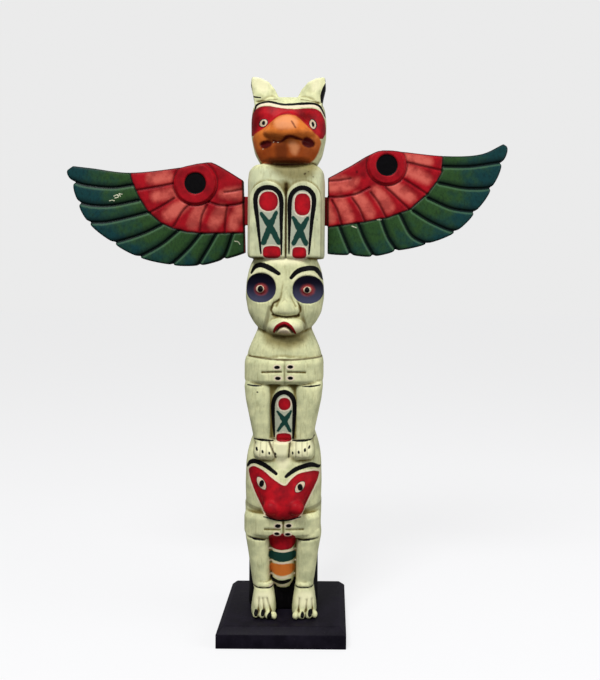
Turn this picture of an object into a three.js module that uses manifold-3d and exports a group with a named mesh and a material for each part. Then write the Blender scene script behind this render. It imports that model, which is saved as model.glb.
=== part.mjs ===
// Carved and painted wooden totem pole: a winged bird on top, a figure in the middle and a bear below,
// cut from one log, with two carved wings let into the log's sides, on a bevelled plinth.
// Millimetres, +Z up. The carved front faces -Y, the origin is at the centre of the plinth's underside.

import * as THREE from "three";
import { mergeVertices } from "three/addons/utils/BufferGeometryUtils.js";
import Module from "manifold-3d";

const wasm = await Module();
wasm.setup();

// Driving sizes of the plinth.
const plinthWidth = 110.5;
const plinthDepth = 115;
const plinthHeight = 17.3;
const plinthBevelWidth = 5.5;
const plinthBevelDrop = 5.3;

// Driving sizes of the log and of the figures carved from it, from the plinth upwards.
const logWidth = 70.5;
const logDepth = 64;
const logOffset = -0.7; // the log stands this far right of the plinth's middle
const bearHeight = 139.7;
const personHeight = 175;
const birdBodyHeight = 82;
const birdHeadHeight = 60.5;
const earHeight = 18.5;
const birdHeadOffset = 1.6; // the bird's head sits a little to the right of its body

// Driving sizes of the wings and of their joint with the log.
const leftWingLength = 161;
const rightWingLength = 162.6;
const wingThickness = 10;
const wingTipThinning = 0.35; // share of the thickness lost between root and tip
const leftWingGap = 3.6; // open slit between the wing's root and the log's side
const rightWingGap = 2.2;
const tenonInLog = 13; // how far the tenon goes into the log
const tenonOverlap = 6; // how far the tenon's box reaches into the wing's board
const tenonHeight = 26;
const tenonThickness = 6.4;
const tenonClearance = 0.3;
const wingMiddleY = -1.5;
const tenonDrop = 39; // middle of the tenon below the top of the bird's body

// Carving depths on the wings.
const reliefHeight = 1.7;
const reliefBevel = 0.9;
const featherInset = 0.35;
const featherSwell = 3.2; // how far the first feather's end swells; the next ones swell less and less
const leftRingRadius = 19.3;
const rightRingRadius = 17.6;
const discRadius = 9.4;
const ringHeight = 1.9;

// Heights worked out from the driving sizes.
const bearBase = plinthHeight;
const personBase = bearBase + bearHeight;
const birdBase = personBase + personHeight;
const birdHeadBase = birdBase + birdBodyHeight;
const birdHeadTop = birdHeadBase + birdHeadHeight;
const tenonZ = birdHeadBase - tenonDrop;
const halfWidth = logWidth / 2;
const halfDepth = logDepth / 2;

// Turns a closed three.js geometry into a solid that can be joined and cut.
function solid(geometry) {
  const bare = new THREE.BufferGeometry();
  const source = geometry.index ? geometry.toNonIndexed() : geometry;
  bare.setAttribute("position", source.getAttribute("position"));
  const merged = mergeVertices(bare, 1e-4);
  const mesh = new wasm.Mesh({
    numProp: 3,
    vertProperties: new Float32Array(merged.attributes.position.array),
    triVerts: new Uint32Array(merged.index.array),
  });
  return new wasm.Manifold(mesh);
}

function join(solids) {
  return solids.reduce((whole, piece) => whole.add(piece));
}

// Turns a solid back into a three.js geometry with flat shaded faces.
function geometryOf(body) {
  const mesh = body.getMesh();
  const geometry = new THREE.BufferGeometry();
  const positions = new Float32Array(mesh.numVert * 3);
  for (let i = 0; i < mesh.numVert; i++) {
    const start = i * mesh.numProp;
    positions.set(mesh.vertProperties.subarray(start, start + 3), i * 3);
  }
  geometry.setAttribute("position", new THREE.BufferAttribute(positions, 3));
  geometry.setIndex(new THREE.BufferAttribute(mesh.triVerts, 1));
  const flat = geometry.toNonIndexed();
  flat.computeVertexNormals();
  return flat;
}

// A carved block that grows upwards through stations [height share, half width, front, back, lean].
// Widths and lean are shares of the log's half width, fronts and backs shares of its half depth.
function block(base, height, stations, { x = 0, sides = 20, squareness = 3.2 } = {}) {
  const geometry = new THREE.CylinderGeometry(1, 1, 1, sides, stations.length - 1);
  geometry.rotateX(Math.PI / 2);
  const place = geometry.getAttribute("position");
  for (let i = 0; i < place.count; i++) {
    const row = Math.round((place.getZ(i) + 0.5) * (stations.length - 1));
    const [rise, half, front, back, lean = 0] = stations[row];
    const across = place.getX(i);
    const along = place.getY(i);
    const reach = Math.hypot(across, along);
    const round = (Math.abs(across) ** squareness + Math.abs(along) ** squareness) ** (1 / squareness);
    const swell = reach > 0.5 ? reach / round : 1;
    const middle = ((back - front) / 2) * halfDepth;
    const deep = ((back + front) / 2) * halfDepth;
    place.setXYZ(
      i,
      logOffset + (x + lean + across * swell * half) * halfWidth,
      middle + along * swell * deep,
      base + rise * height,
    );
  }
  return solid(geometry);
}

// An egg-shaped lump or hollow at a point of the log, sized in shares of the log's half width.
function egg(x, y, z, wide, deep, tall, detail = 14) {
  const geometry = new THREE.SphereGeometry(1, detail, Math.round(detail * 0.6));
  geometry.rotateX(Math.PI / 2);
  geometry.scale(wide * halfWidth, deep * halfDepth, tall * halfWidth);
  geometry.translate(logOffset + x * halfWidth, -y * halfDepth, z);
  return solid(geometry);
}

// A V-shaped cut between two points on the log's front, given as [x share, y share, height].
function cut(from, to, width = 1.2, depth = 1.6) {
  const place = ([x, y, z]) => new THREE.Vector3(logOffset + x * halfWidth, -y * halfDepth, z);
  const start = place(from);
  const end = place(to);
  const run = new THREE.Vector3().subVectors(end, start);
  const geometry = new THREE.CylinderGeometry(1, 1, run.length(), 4);
  geometry.scale(width, 1, depth);
  const up = run.clone().normalize();
  const outwards = new THREE.Vector3(0, -1, 0);
  const side = new THREE.Vector3().crossVectors(up, outwards).normalize();
  outwards.crossVectors(side, up);
  geometry.applyMatrix4(new THREE.Matrix4().makeBasis(side, up, outwards));
  geometry.translate((start.x + end.x) / 2, (start.y + end.y) / 2, (start.z + end.z) / 2);
  return solid(geometry);
}

// A panel whose outline lies in the X-Z plane; its front face is at frontY and it runs back by depth.
function panel(outline, frontY, depth, bevel, inset = 0) {
  const geometry = new THREE.ExtrudeGeometry(new THREE.Shape(outline), {
    depth: depth - 2 * bevel,
    bevelEnabled: bevel > 0,
    bevelThickness: bevel,
    bevelSize: bevel,
    bevelOffset: -bevel - inset,
    bevelSegments: 1,
    curveSegments: 6,
  });
  geometry.rotateX(Math.PI / 2);
  geometry.translate(0, frontY + depth - bevel, 0);
  return solid(geometry);
}

// A pair of forms, one on each side of the log's middle.
function pair(make) {
  return [-1, 1].map(make);
}

// The bear: feet, legs, belly, arms across the chest and a broad heart-shaped snout.
function bear() {
  const up = (share) => bearBase + share * bearHeight;
  const trunk = block(bearBase, bearHeight, [
    [0, 0.89, 0.52, 0.94],
    [0.3, 0.89, 0.52, 0.94],
    [0.4, 0.92, 0.66, 0.95],
    [0.56, 0.97, 0.84, 0.95],
    [0.68, 0.98, 0.9, 0.95],
  ], { x: -0.03 });
  const head = block(bearBase, bearHeight, [
    [0.6, 0.9, 0.84, 0.93],
    [0.66, 0.96, 0.92, 0.95],
    [0.8, 0.975, 0.98, 0.96],
    [0.94, 0.96, 0.97, 0.96],
    [1.0, 0.93, 0.9, 0.95],
    [1.06, 0.87, 0.74, 0.94],
    [1.14, 0.76, 0.6, 0.9],
  ], { x: -0.025 });
  const snout = block(bearBase, bearHeight, [
    [0.615, 0.34, 1.12, 0],
    [0.63, 0.42, 1.22, 0],
    [0.68, 0.5, 1.28, 0],
    [0.75, 0.62, 1.22, 0],
    [0.84, 0.8, 1.1, 0],
    [0.93, 0.82, 0.97, 0],
    [0.97, 0.7, 0.85, 0],
  ], { x: 0.01, sides: 18, squareness: 2.6 });
  const arms = block(bearBase, bearHeight, [
    [0.49, 0.92, 0.98, 0.3],
    [0.51, 0.97, 1.08, 0.3],
    [0.61, 0.97, 1.1, 0.3],
    [0.635, 0.93, 1.02, 0.3],
  ], { x: -0.03, squareness: 2.9 });
  const belly = block(bearBase, bearHeight, [
    [0.155, 0.2, 0.7, 0],
    [0.2, 0.29, 0.8, 0],
    [0.36, 0.33, 0.88, 0],
    [0.54, 0.36, 0.9, 0],
  ], { sides: 16, squareness: 2.4 });
  const legs = pair((side) => block(bearBase, bearHeight, [
    [0.165, 0.215, 0.88, 0.2, -0.08 * side],
    [0.23, 0.24, 0.92, 0.2, -0.06 * side],
    [0.4, 0.285, 0.96, 0.2, -0.01 * side],
    [0.49, 0.32, 0.97, 0.2, 0.02 * side],
    [0.53, 0.3, 0.9, 0.2, 0.02 * side],
  ], { x: side * 0.62, sides: 14, squareness: 3.4 }));
  const feet = pair((side) => block(bearBase, bearHeight, [
    [0, 0.3, 1.08, 0],
    [0.035, 0.31, 1.13, 0],
    [0.08, 0.29, 1.1, 0],
    [0.2, 0.22, 0.95, 0],
  ], { x: 0.03 + side * 0.51, sides: 16 }));
  const nostrils = pair((side) => egg(0.03 + side * 0.3, 1.14, up(0.69), 0.2, 0.2, 0.18, 10));
  const whole = join([trunk, head, snout, arms, belly, ...legs, ...feet, ...nostrils]);
  const toeCuts = pair((side) => [-0.13, 0.02, 0.16].map((across) => cut(
    [0.03 + side * 0.51 + across, 1.17, up(-0.01)],
    [0.03 + side * 0.51 + across * 0.7, 1.04, up(0.12)],
    1.1,
    1.5,
  ))).flat();
  const fingerCuts = pair((side) => cut(
    [0.02 + side * 0.1, 1.1, up(0.552)],
    [0.02 + side * 0.62, 1.06, up(0.552)],
  ));
  const handCut = cut([0.03, 1.12, up(0.48)], [0.03, 1.12, up(0.64)], 0.9, 1.4);
  const underHead = pair((side) => cut(
    [side * 0.42, 1.0, up(0.638)],
    [side * 0.98, 0.72, up(0.66)],
    1.3,
    2.4,
  ));
  return whole.subtract(join([...toeCuts, ...fingerCuts, handCut, ...underHead]));
}

// The person: feet on the bear's head with a wedge left between them, bent legs, belly,
// hands together, and a broad face.
function person() {
  const up = (share) => personBase + share * personHeight;
  const waist = block(personBase, personHeight, [
    [-0.02, 0.72, 0.8, 0.9],
    [0.08, 0.72, 0.78, 0.9],
    [0.2, 0.84, 0.82, 0.93],
    [0.36, 0.94, 0.86, 0.95],
    [0.5, 0.94, 0.94, 0.95],
  ], { x: -0.03 });
  const arms = block(personBase, personHeight, [
    [0.362, 0.96, 0.98, 0.9],
    [0.378, 1.01, 1.07, 0.95],
    [0.465, 1.01, 1.07, 0.95],
    [0.493, 0.98, 1.0, 0.94],
  ], { x: -0.03 });
  const shoulders = block(personBase, personHeight, [
    [0.47, 0.95, 0.93, 0.94],
    [0.51, 0.95, 0.95, 0.95],
    [0.55, 0.88, 0.93, 0.92],
    [0.59, 0.79, 0.86, 0.87],
    [0.64, 0.68, 0.78, 0.8],
  ], { x: -0.03, squareness: 2.8 });
  const head = block(personBase, personHeight, [
    [0.61, 0.5, 0.86, 0.82],
    [0.625, 0.6, 0.94, 0.88],
    [0.665, 0.79, 1.0, 0.93],
    [0.72, 0.94, 1.02, 0.95],
    [0.8, 1.01, 1.03, 0.96],
    [0.88, 0.99, 1.02, 0.96],
    [0.94, 0.93, 1.0, 0.94],
    [0.975, 0.87, 0.97, 0.92],
    [1.005, 0.78, 0.9, 0.88],
  ], { x: -0.025, squareness: 2.8 });
  const nose = block(personBase, personHeight, [
    [0.703, 0.28, 1.12, 0],
    [0.72, 0.33, 1.26, 0],
    [0.75, 0.29, 1.26, 0],
    [0.8, 0.18, 1.14, 0],
    [0.88, 0.15, 1.03, 0],
  ], { x: 0.05, sides: 12, squareness: 2.2 });
  const muzzle = egg(0.05, 0.9, up(0.657), 0.46, 0.32, 0.25, 12);
  const belly = block(personBase, personHeight, [
    [0.06, 0.32, 0.9, 0],
    [0.12, 0.34, 0.95, 0],
    [0.3, 0.35, 0.98, 0],
    [0.34, 0.28, 0.96, 0],
    [0.365, 0.16, 0.9, 0],
  ], { x: 0.01, sides: 16, squareness: 2.6 });
  const legs = pair((side) => block(personBase, personHeight, [
    [0.07, 0.235, 0.9, 0.2, -0.15 * side],
    [0.16, 0.275, 0.96, 0.2, -0.1 * side],
    [0.28, 0.34, 1.0, 0.2, -0.04 * side],
    [0.35, 0.37, 0.98, 0.2, -0.03 * side],
    [0.37, 0.35, 0.88, 0.2, -0.03 * side],
  ], { x: -0.02 + side * 0.655, sides: 14, squareness: 3.4 }));
  const feet = pair((side) => block(personBase, personHeight, [
    [-0.015, 0.26, 0.98, 0],
    [0.005, 0.31, 1.08, 0],
    [0.03, 0.3, 1.08, 0],
    [0.085, 0.22, 0.93, 0],
  ], { x: 0.01 + side * 0.46, sides: 14 }));
  const wedge = block(personBase, personHeight, [
    [-0.02, 0.2, 0.96, 0],
    [0.01, 0.24, 1.02, 0],
    [0.068, 0.24, 1.0, 0],
  ], { x: -0.05, sides: 12 });
  const sockets = pair((side) => egg(0.01 + side * 0.57, 1.05, up(0.844), 0.375, 0.3, 0.37, 14));
  const eyes = pair((side) => egg(0.01 + side * 0.62, 0.78, up(0.836), 0.16, 0.12, 0.115, 10));
  const face = join([head, nose]).subtract(join(sockets)).add(join([muzzle, ...eyes]));
  const mouthCuts = pair((side) => cut(
    [0.05, 1.2, up(0.69)],
    [0.05 + side * 0.27, 1.12, up(0.638)],
    1.3,
    2,
  ));
  const cheekCuts = pair((side) => cut(
    [0.05 + side * 0.4, 1.06, up(0.755)],
    [0.05 + side * 0.52, 0.98, up(0.66)],
    0.9,
    1.4,
  ));
  const fingerCuts = pair((side) => cut(
    [0.02 + side * 0.08, 1.07, up(0.421)],
    [0.02 + side * 0.6, 1.05, up(0.421)],
  ));
  const handCut = cut([0.015, 1.08, up(0.35)], [0.015, 1.08, up(0.5)], 0.9, 1.4);
  const toeCuts = pair((side) => [-0.16, 0, 0.16].map((across) => cut(
    [0.01 + side * 0.46 + across, 1.12, up(-0.01)],
    [0.01 + side * 0.46 + across * 0.6, 1.0, up(0.065)],
    0.8,
    1.2,
  ))).flat();
  const whole = join([waist, arms, shoulders, face, belly, wedge, ...legs, ...feet]);
  return whole.subtract(join([...mouthCuts, ...cheekCuts, ...fingerCuts, handCut, ...toeCuts]));
}

// The outline of one raised lobe on the bird's front: straight sides under a round top.
function lobeOutline(middle, half, bottom, top) {
  const outline = new THREE.Path();
  outline.moveTo(middle - half, bottom);
  outline.lineTo(middle + half, bottom);
  outline.lineTo(middle + half, top - half);
  outline.absarc(middle, top - half, half, 0, Math.PI, false);
  outline.closePath();
  return outline.getPoints(8);
}

// The bird's body: a rounded block with two lobes, and a mortise in each side for a wing's tenon.
function birdBody() {
  const trunk = block(birdBase, birdBodyHeight, [
    [0, 0.96, 0.9, 0.93],
    [0.03, 0.985, 0.94, 0.95],
    [0.84, 0.985, 0.94, 0.96],
    [0.94, 0.96, 0.9, 0.95],
    [0.99, 0.88, 0.84, 0.92],
    [1.01, 0.8, 0.78, 0.9],
  ], { squareness: 4.4, sides: 28 });
  const lobeHalf = 0.43 * halfWidth;
  const lobes = pair((side) => panel(
    lobeOutline(
      logOffset + (0.01 + side * 0.455) * halfWidth,
      lobeHalf,
      birdBase,
      birdBase + 0.81 * birdBodyHeight,
    ),
    -1.02 * halfDepth,
    0.3 * halfDepth,
    1.4,
  ));
  const mortiseDepth = tenonInLog + tenonClearance;
  const mortises = pair((side) => {
    const box = new THREE.BoxGeometry(
      2 * mortiseDepth,
      tenonThickness + 2 * tenonClearance,
      tenonHeight + 2 * tenonClearance,
    );
    box.translate(logOffset + side * halfWidth, wingMiddleY, tenonZ);
    return solid(box);
  });
  return join([trunk, ...lobes]).subtract(join(mortises));
}

// The bird's head: a rounded block with a short broad beak and two upright ears.
function birdHead() {
  const shift = birdHeadOffset / halfWidth;
  const up = (share) => birdHeadBase + share * birdHeadHeight;
  const skull = block(birdHeadBase, birdHeadHeight, [
    [-0.02, 0.6, 0.84, 0.82],
    [0.04, 0.72, 0.96, 0.88],
    [0.2, 0.87, 1.0, 0.93],
    [0.45, 0.96, 1.02, 0.96],
    [0.7, 0.965, 1.0, 0.96],
    [0.88, 0.93, 0.9, 0.93],
    [0.97, 0.84, 0.78, 0.86],
    [1.0, 0.74, 0.68, 0.78],
  ], { x: shift, squareness: 2.9 });
  const lowerBeak = block(birdHeadBase, birdHeadHeight, [
    [0.025, 0.5, 0.98, 0],
    [0.07, 0.6, 1.1, 0],
    [0.25, 0.66, 1.18, 0],
    [0.42, 0.66, 1.16, 0],
  ], { x: shift + 0.03, sides: 16, squareness: 2.4 });
  const upperBeak = block(birdHeadBase, birdHeadHeight, [
    [0.35, 0.42, 1.32, 0],
    [0.385, 0.6, 1.4, 0],
    [0.45, 0.68, 1.42, 0],
    [0.56, 0.56, 1.38, 0],
    [0.66, 0.4, 1.26, 0],
    [0.72, 0.26, 1.1, 0],
    [0.75, 0.14, 0.94, 0],
  ], { x: shift + 0.03, sides: 16, squareness: 2.3 });
  const hollows = pair((side) => egg(
    shift + 0.03 + side * 0.52,
    1.12,
    up(0.31),
    0.2,
    0.16,
    0.14,
    10,
  ));
  const ears = pair((side) => {
    const at = (x, share) => new THREE.Vector2(
      logOffset + birdHeadOffset + side * x * halfWidth,
      birdHeadTop + share * earHeight,
    );
    const outline = [
      at(0.2, -0.35),
      at(0.23, 0),
      at(0.34, 0.42),
      at(0.5, 0.78),
      at(0.7, 1),
      at(0.93, 1),
      at(0.95, 0.6),
      at(0.89, 0.1),
      at(0.84, -0.5),
    ];
    return panel(side > 0 ? outline.reverse() : outline, -0.62 * halfDepth, 0.5 * halfDepth, 1.6);
  });
  return join([skull, lowerBeak, upperBeak]).subtract(join(hollows)).add(join(ears));
}

// What each wing's carving needs. Points are [outwards, upwards] from the middle of the tenon at the
// wing's root, for a wing of its own length; both wings were cut by hand and differ.
const leftWing = {
  length: leftWingLength,
  drawnLength: 161,
  gap: leftWingGap,
  ringRadius: leftRingRadius,
  ring: [43.9, 24.2],
  topEdge: [[1, 27.5], [23, 40.6], [34, 43.6], [62, 38.2], [104, 33.8], [138, 37.6], [156, 39.6]],
  tip: [161, 36],
  notches: [[155, 25.5], [150.3, 6.5], [141.2, -11.6], [118, -30], [95.5, -42.6], [65.3, -49.6],
    [40.5, -49.8], [18.8, -44]],
  rootBottom: [-1.2, -38],
  colourLine: [[104.4, 35], [95.8, 12.2], [77.2, -8.4], [50.5, -18.1], [16, -19], [0, -18]],
  armEdge: [[64, 30], [63.4, 17], [57, 8], [44, 4], [30, 5.8], [15, 3.8], [0, 6.5]],
  pads: [[65, 33], [66.5, 21.5], [62, 9.6], [49.5, 3], [33.3, 4], [14.8, 2.6], [0, 3.9]],
};
const rightWing = {
  length: rightWingLength,
  drawnLength: 162.6,
  gap: rightWingGap,
  ringRadius: rightRingRadius,
  ring: [53.4, 41.8],
  topEdge: [[0, 30], [20, 41], [40, 52.6], [56, 55.4], [104, 51], [138, 52.6], [159.5, 62.3]],
  tip: [162.6, 60.4],
  notches: [[157.8, 45], [148.4, 22], [133.5, 0], [116.4, -17.8], [91, -28.4], [62, -35.2],
    [41.4, -40.6], [21.2, -39.2]],
  rootBottom: [0, -38.7],
  colourLine: [[104.6, 52.5], [101.5, 28.5], [83, 7], [62.3, -4.3], [30, -10.5], [0, -15.6]],
  armEdge: [[72, 52], [71, 40], [63, 26], [48, 20], [38, 17.5], [18, 12.4], [0, 12.9]],
  pads: [[73, 55], [74, 44.5], [69.3, 28], [52.4, 20], [38, 15.8], [20, 10.2], [0, 10.3]],
};

// Where the feathers and the pads part, as shares of the line where red meets green.
const featherShares = [0.08, 0.2, 0.305, 0.42, 0.53, 0.67, 0.795, 0.92];
const padShares = [0, 0.17, 0.37, 0.56, 0.73, 0.88, 1];

function vectors(points) {
  return points.map(([u, v]) => new THREE.Vector2(u, v));
}

// The round end of a feather between two notches, swelling away from the wing's middle.
function featherEnd(from, to, swell) {
  const run = new THREE.Vector2().subVectors(to, from);
  const outwards = new THREE.Vector2(-run.y, run.x).normalize().multiplyScalar(swell);
  const early = from.clone().addScaledVector(run, 0.12).add(outwards);
  const late = from.clone().addScaledVector(run, 0.7).addScaledVector(outwards, 0.9);
  return new THREE.CubicBezierCurve(from, early, late, to).getPoints(4);
}

// A feather's edge from the colour line out to its notch, sagging a little.
function featherEdge(from, to, sag) {
  const middle = from.clone().lerp(to, 0.55);
  middle.y -= sag;
  return new THREE.QuadraticBezierCurve(from, middle, to).getPoints(3);
}

// The raised forms on a wing's front as outlines: feathers, arm and the pads between them.
function wingOutlines(shape) {
  const colourLine = new THREE.SplineCurve(vectors(shape.colourLine));
  const topEdge = new THREE.SplineCurve(vectors(shape.topEdge)).getPoints(14);
  const notches = vectors(shape.notches);
  const rootBottom = new THREE.Vector2(...shape.rootBottom);
  const tip = new THREE.Vector2(...shape.tip);
  const lineEnds = [0, ...featherShares, 1].map((share) => colourLine.getPointAt(share));
  const tips = [tip, ...notches, rootBottom];
  const edges = tips.map((end, i) => featherEdge(lineEnds[i], end, i > 0 && i < 4 ? 5 : 1));
  edges[0] = topEdge.filter((point) => point.x > lineEnds[0].x);
  edges[0].unshift(lineEnds[0]);
  edges[0].push(tip);
  const ends = tips.slice(1).map((end, i) => featherEnd(tips[i], end, featherSwell * (1 - 0.09 * i)));
  const feathers = ends.map((end, i) => [
    ...edges[i].slice(0, -1),
    ...end,
    ...edges[i + 1].slice(0, -1).reverse(),
  ]);
  const board = [
    ...topEdge,
    ...ends.flatMap((end) => end.slice(0, -1)),
    rootBottom,
  ];
  const armLine = new THREE.SplineCurve(vectors(shape.armEdge)).getPoints(12);
  const arm = [
    ...topEdge.filter((point) => point.x < armLine[0].x),
    ...armLine,
  ];
  const pads = padShares.slice(1).map((share, i) => {
    const before = padShares[i];
    const outer = [before, (before + share) / 2, share].map((at) => colourLine.getPointAt(at));
    return [new THREE.Vector2(...shape.pads[i]), ...outer, new THREE.Vector2(...shape.pads[i + 1])];
  });
  return { board, feathers, arm, pads };
}

// One wing: a flat board with feathers, arm, pads, ring and disc raised on its front, and a tenon.
function wing(side, shape) {
  const { board, feathers, arm, pads } = wingOutlines(shape);
  const boardFront = wingMiddleY - wingThickness / 2;
  const reliefFront = boardFront - reliefHeight;
  const boardSolid = panel(board.reverse(), boardFront, wingThickness, 0.8, -0.4);
  const relief = (outline, inset) => panel(
    outline.slice().reverse(),
    reliefFront,
    reliefHeight + 1.2,
    reliefBevel,
    inset,
  );
  const raised = [
    ...feathers.map((outline) => relief(outline, featherInset)),
    ...pads.map((outline) => relief(outline, featherInset)),
    relief(arm, 0.3),
  ];
  const [ringU, ringV] = shape.ring;
  const ringTop = reliefHeight + ringHeight;
  const ring = new THREE.LatheGeometry([
    new THREE.Vector2(0, -1),
    new THREE.Vector2(shape.ringRadius, -1),
    new THREE.Vector2(shape.ringRadius - 0.6, reliefHeight + 0.4),
    new THREE.Vector2(shape.ringRadius - 4, ringTop),
    new THREE.Vector2(discRadius + 2, ringTop),
    new THREE.Vector2(discRadius, reliefHeight + 0.7),
    new THREE.Vector2(0, reliefHeight + 0.7),
  ], 22);
  ring.rotateX(Math.PI);
  ring.translate(ringU, boardFront, ringV);
  const ringRoom = panel(board, boardFront - ringTop - 1, wingThickness, 0);
  let whole = join([boardSolid, ...raised, solid(ring).intersect(ringRoom)]);
  const stretch = shape.length / shape.drawnLength;
  whole = whole.warp((place) => {
    const thin = 1 - wingTipThinning * Math.max(0, place[0] / shape.drawnLength) ** 1.3;
    place[0] *= stretch;
    place[1] = wingMiddleY + (place[1] - wingMiddleY) * thin;
  });
  const tenonLength = shape.gap + tenonInLog;
  const tenon = new THREE.BoxGeometry(tenonLength + tenonOverlap, tenonThickness, tenonHeight);
  tenon.translate((tenonOverlap - tenonLength) / 2, wingMiddleY, 0);
  whole = whole.add(solid(tenon));
  const root = halfWidth + shape.gap;
  if (side < 0) {
    return whole.mirror([1, 0, 0]).translate([logOffset - root, 0, tenonZ]);
  }
  return whole.translate([logOffset + root, 0, tenonZ]);
}

// The plinth: an almost square slab whose top edge is bevelled all round, with a flat top for the log.
function plinth() {
  const geometry = new THREE.BoxGeometry(plinthWidth, plinthDepth, plinthHeight, 1, 1, 2);
  geometry.translate(0, 0, plinthHeight / 2);
  const place = geometry.getAttribute("position");
  for (let i = 0; i < place.count; i++) {
    const high = place.getZ(i);
    if (high > 0.9 * plinthHeight) {
      place.setX(i, place.getX(i) - Math.sign(place.getX(i)) * plinthBevelWidth);
      place.setY(i, place.getY(i) - Math.sign(place.getY(i)) * plinthBevelWidth);
    } else if (high > 0.1 * plinthHeight) {
      place.setZ(i, plinthHeight - plinthBevelDrop);
    }
  }
  return solid(geometry);
}

const paint = {
  cream: new THREE.MeshStandardMaterial({ color: "#dcd7a6", roughness: 0.5, metalness: 0 }),
  red: new THREE.MeshStandardMaterial({ color: "#a92a2e", roughness: 0.5, metalness: 0 }),
  green: new THREE.MeshStandardMaterial({ color: "#2f5a44", roughness: 0.5, metalness: 0 }),
  black: new THREE.MeshStandardMaterial({ color: "#1e1b20", roughness: 0.55, metalness: 0 }),
};

const totemPole = new THREE.Group();

function addPiece(name, body, material) {
  const mesh = new THREE.Mesh(geometryOf(body), material);
  mesh.name = name;
  totemPole.add(mesh);
}

addPiece("plinth", plinth(), paint.black);
addPiece("carved_pole", join([bear(), person(), birdBody(), birdHead()]), paint.cream);
addPiece("left_wing", wing(-1, leftWing), paint.green);
addPiece("right_wing", wing(1, rightWing), paint.red);

export default totemPole;
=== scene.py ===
import bpy
import math
import numpy as np
from mathutils import Euler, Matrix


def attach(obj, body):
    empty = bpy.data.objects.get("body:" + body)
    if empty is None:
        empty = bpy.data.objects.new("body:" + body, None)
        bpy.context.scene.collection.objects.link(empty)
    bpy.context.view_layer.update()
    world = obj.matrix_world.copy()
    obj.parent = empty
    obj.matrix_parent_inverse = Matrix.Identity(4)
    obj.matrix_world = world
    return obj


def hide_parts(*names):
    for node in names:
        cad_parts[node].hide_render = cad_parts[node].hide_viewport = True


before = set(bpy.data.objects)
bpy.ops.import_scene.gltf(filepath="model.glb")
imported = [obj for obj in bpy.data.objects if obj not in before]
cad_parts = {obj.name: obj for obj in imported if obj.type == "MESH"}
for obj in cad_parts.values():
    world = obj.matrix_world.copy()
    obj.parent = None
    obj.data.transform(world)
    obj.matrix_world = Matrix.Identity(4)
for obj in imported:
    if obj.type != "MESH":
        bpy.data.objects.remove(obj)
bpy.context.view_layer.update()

poleForm = {  # the log's own sizes, millimetres
    "middleX": -0.7,
    "halfWidth": 35.25,
    "halfDepth": 32,
    "bearBase": 17.3,
    "personBase": 157,
    "birdBase": 332,
    "headBase": 414,
    "bearHeight": 139.7,
    "personHeight": 175,
    "birdHeight": 82,
    "headHeight": 60.5,
    "earHeight": 18.5,
    "headOffset": 1.6,
    "voxel": 1.0,
    "plainFrom": 8,  # behind this depth the log is uncarved and its mesh is thinned out
    "blackFrom": 14,  # behind this depth the log is painted black
}


def deselectAll():
    bpy.ops.object.select_all(action="DESELECT")


def choose(pieces):
    deselectAll()
    for piece in pieces:
        piece.select_set(True)
    bpy.context.view_layer.objects.active = pieces[0]


def pointsOf(piece):
    flat = np.empty(len(piece.data.vertices) * 3)
    piece.data.vertices.foreach_get("co", flat)
    return flat.reshape(-1, 3) * 1000


def movePoints(piece, points):
    piece.data.vertices.foreach_set("co", (points / 1000).ravel())
    piece.data.update()


def normalsOf(piece):
    flat = np.empty(len(piece.data.vertices) * 3)
    piece.data.vertex_normals.foreach_get("vector", flat)
    return flat.reshape(-1, 3)


def applyModifier(piece, kind, **settings):
    choose([piece])
    modifier = piece.modifiers.new(kind.lower(), kind)
    for name, value in settings.items():
        setattr(modifier, name, value)
    bpy.ops.object.modifier_apply(modifier=modifier.name)


def joinAll(pieces, name):
    choose(pieces)
    bpy.ops.object.join()
    whole = bpy.context.object
    whole.name = whole.data.name = name
    return whole


def steady(rises, values, spread):  # a smooth run through the stations, rounded over a small height
    fine = np.linspace(rises[0], rises[-1], 400)
    line = np.interp(fine, rises, values)
    reach = max(1, int(spread * 400))
    padded = np.pad(line, reach, mode="edge")
    kernel = np.ones(2 * reach + 1) / (2 * reach + 1)
    return fine, np.convolve(padded, kernel, mode="valid")


def carvedBlock(base, height, stations, x=0.0, squareness=3.2, round=1.6):
    # stations are [height share, half width, front, back, lean], shares of the log's half sizes
    deselectAll()
    bpy.ops.mesh.primitive_uv_sphere_add(segments=72, ring_count=64, radius=1)
    piece = bpy.context.object
    ball = pointsOf(piece) / 1000
    turn = np.arctan2(ball[:, 1], ball[:, 0])
    down = np.arccos(np.clip(ball[:, 2], -1, 1)) / math.pi
    cap = 0.14
    reach = np.clip(np.minimum(down, 1 - down) / cap, 0, 1)
    along = np.clip((1 - down - cap) / (1 - 2 * cap), 0, 1)
    rises = [row[0] for row in stations]
    spread = round / (height * (rises[-1] - rises[0]))
    rise = rises[0] + along * (rises[-1] - rises[0])

    def share(column):
        values = [row[column] if len(row) > column else 0 for row in stations]
        return np.interp(rise, *steady(rises, values, spread))

    half, front, back, lean = share(1), share(2), share(3), share(4)
    across = np.cos(turn) * reach
    deep = np.sin(turn) * reach
    size = (np.abs(np.cos(turn)) ** squareness + np.abs(np.sin(turn)) ** squareness) ** (1 / squareness)
    points = np.empty_like(ball)
    points[:, 0] = poleForm["middleX"] + (x + lean + across / size * half) * poleForm["halfWidth"]
    points[:, 1] = ((back - front) / 2 + deep / size * (back + front) / 2) * poleForm["halfDepth"]
    points[:, 2] = base + rise * height
    movePoints(piece, points)
    return piece


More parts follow.
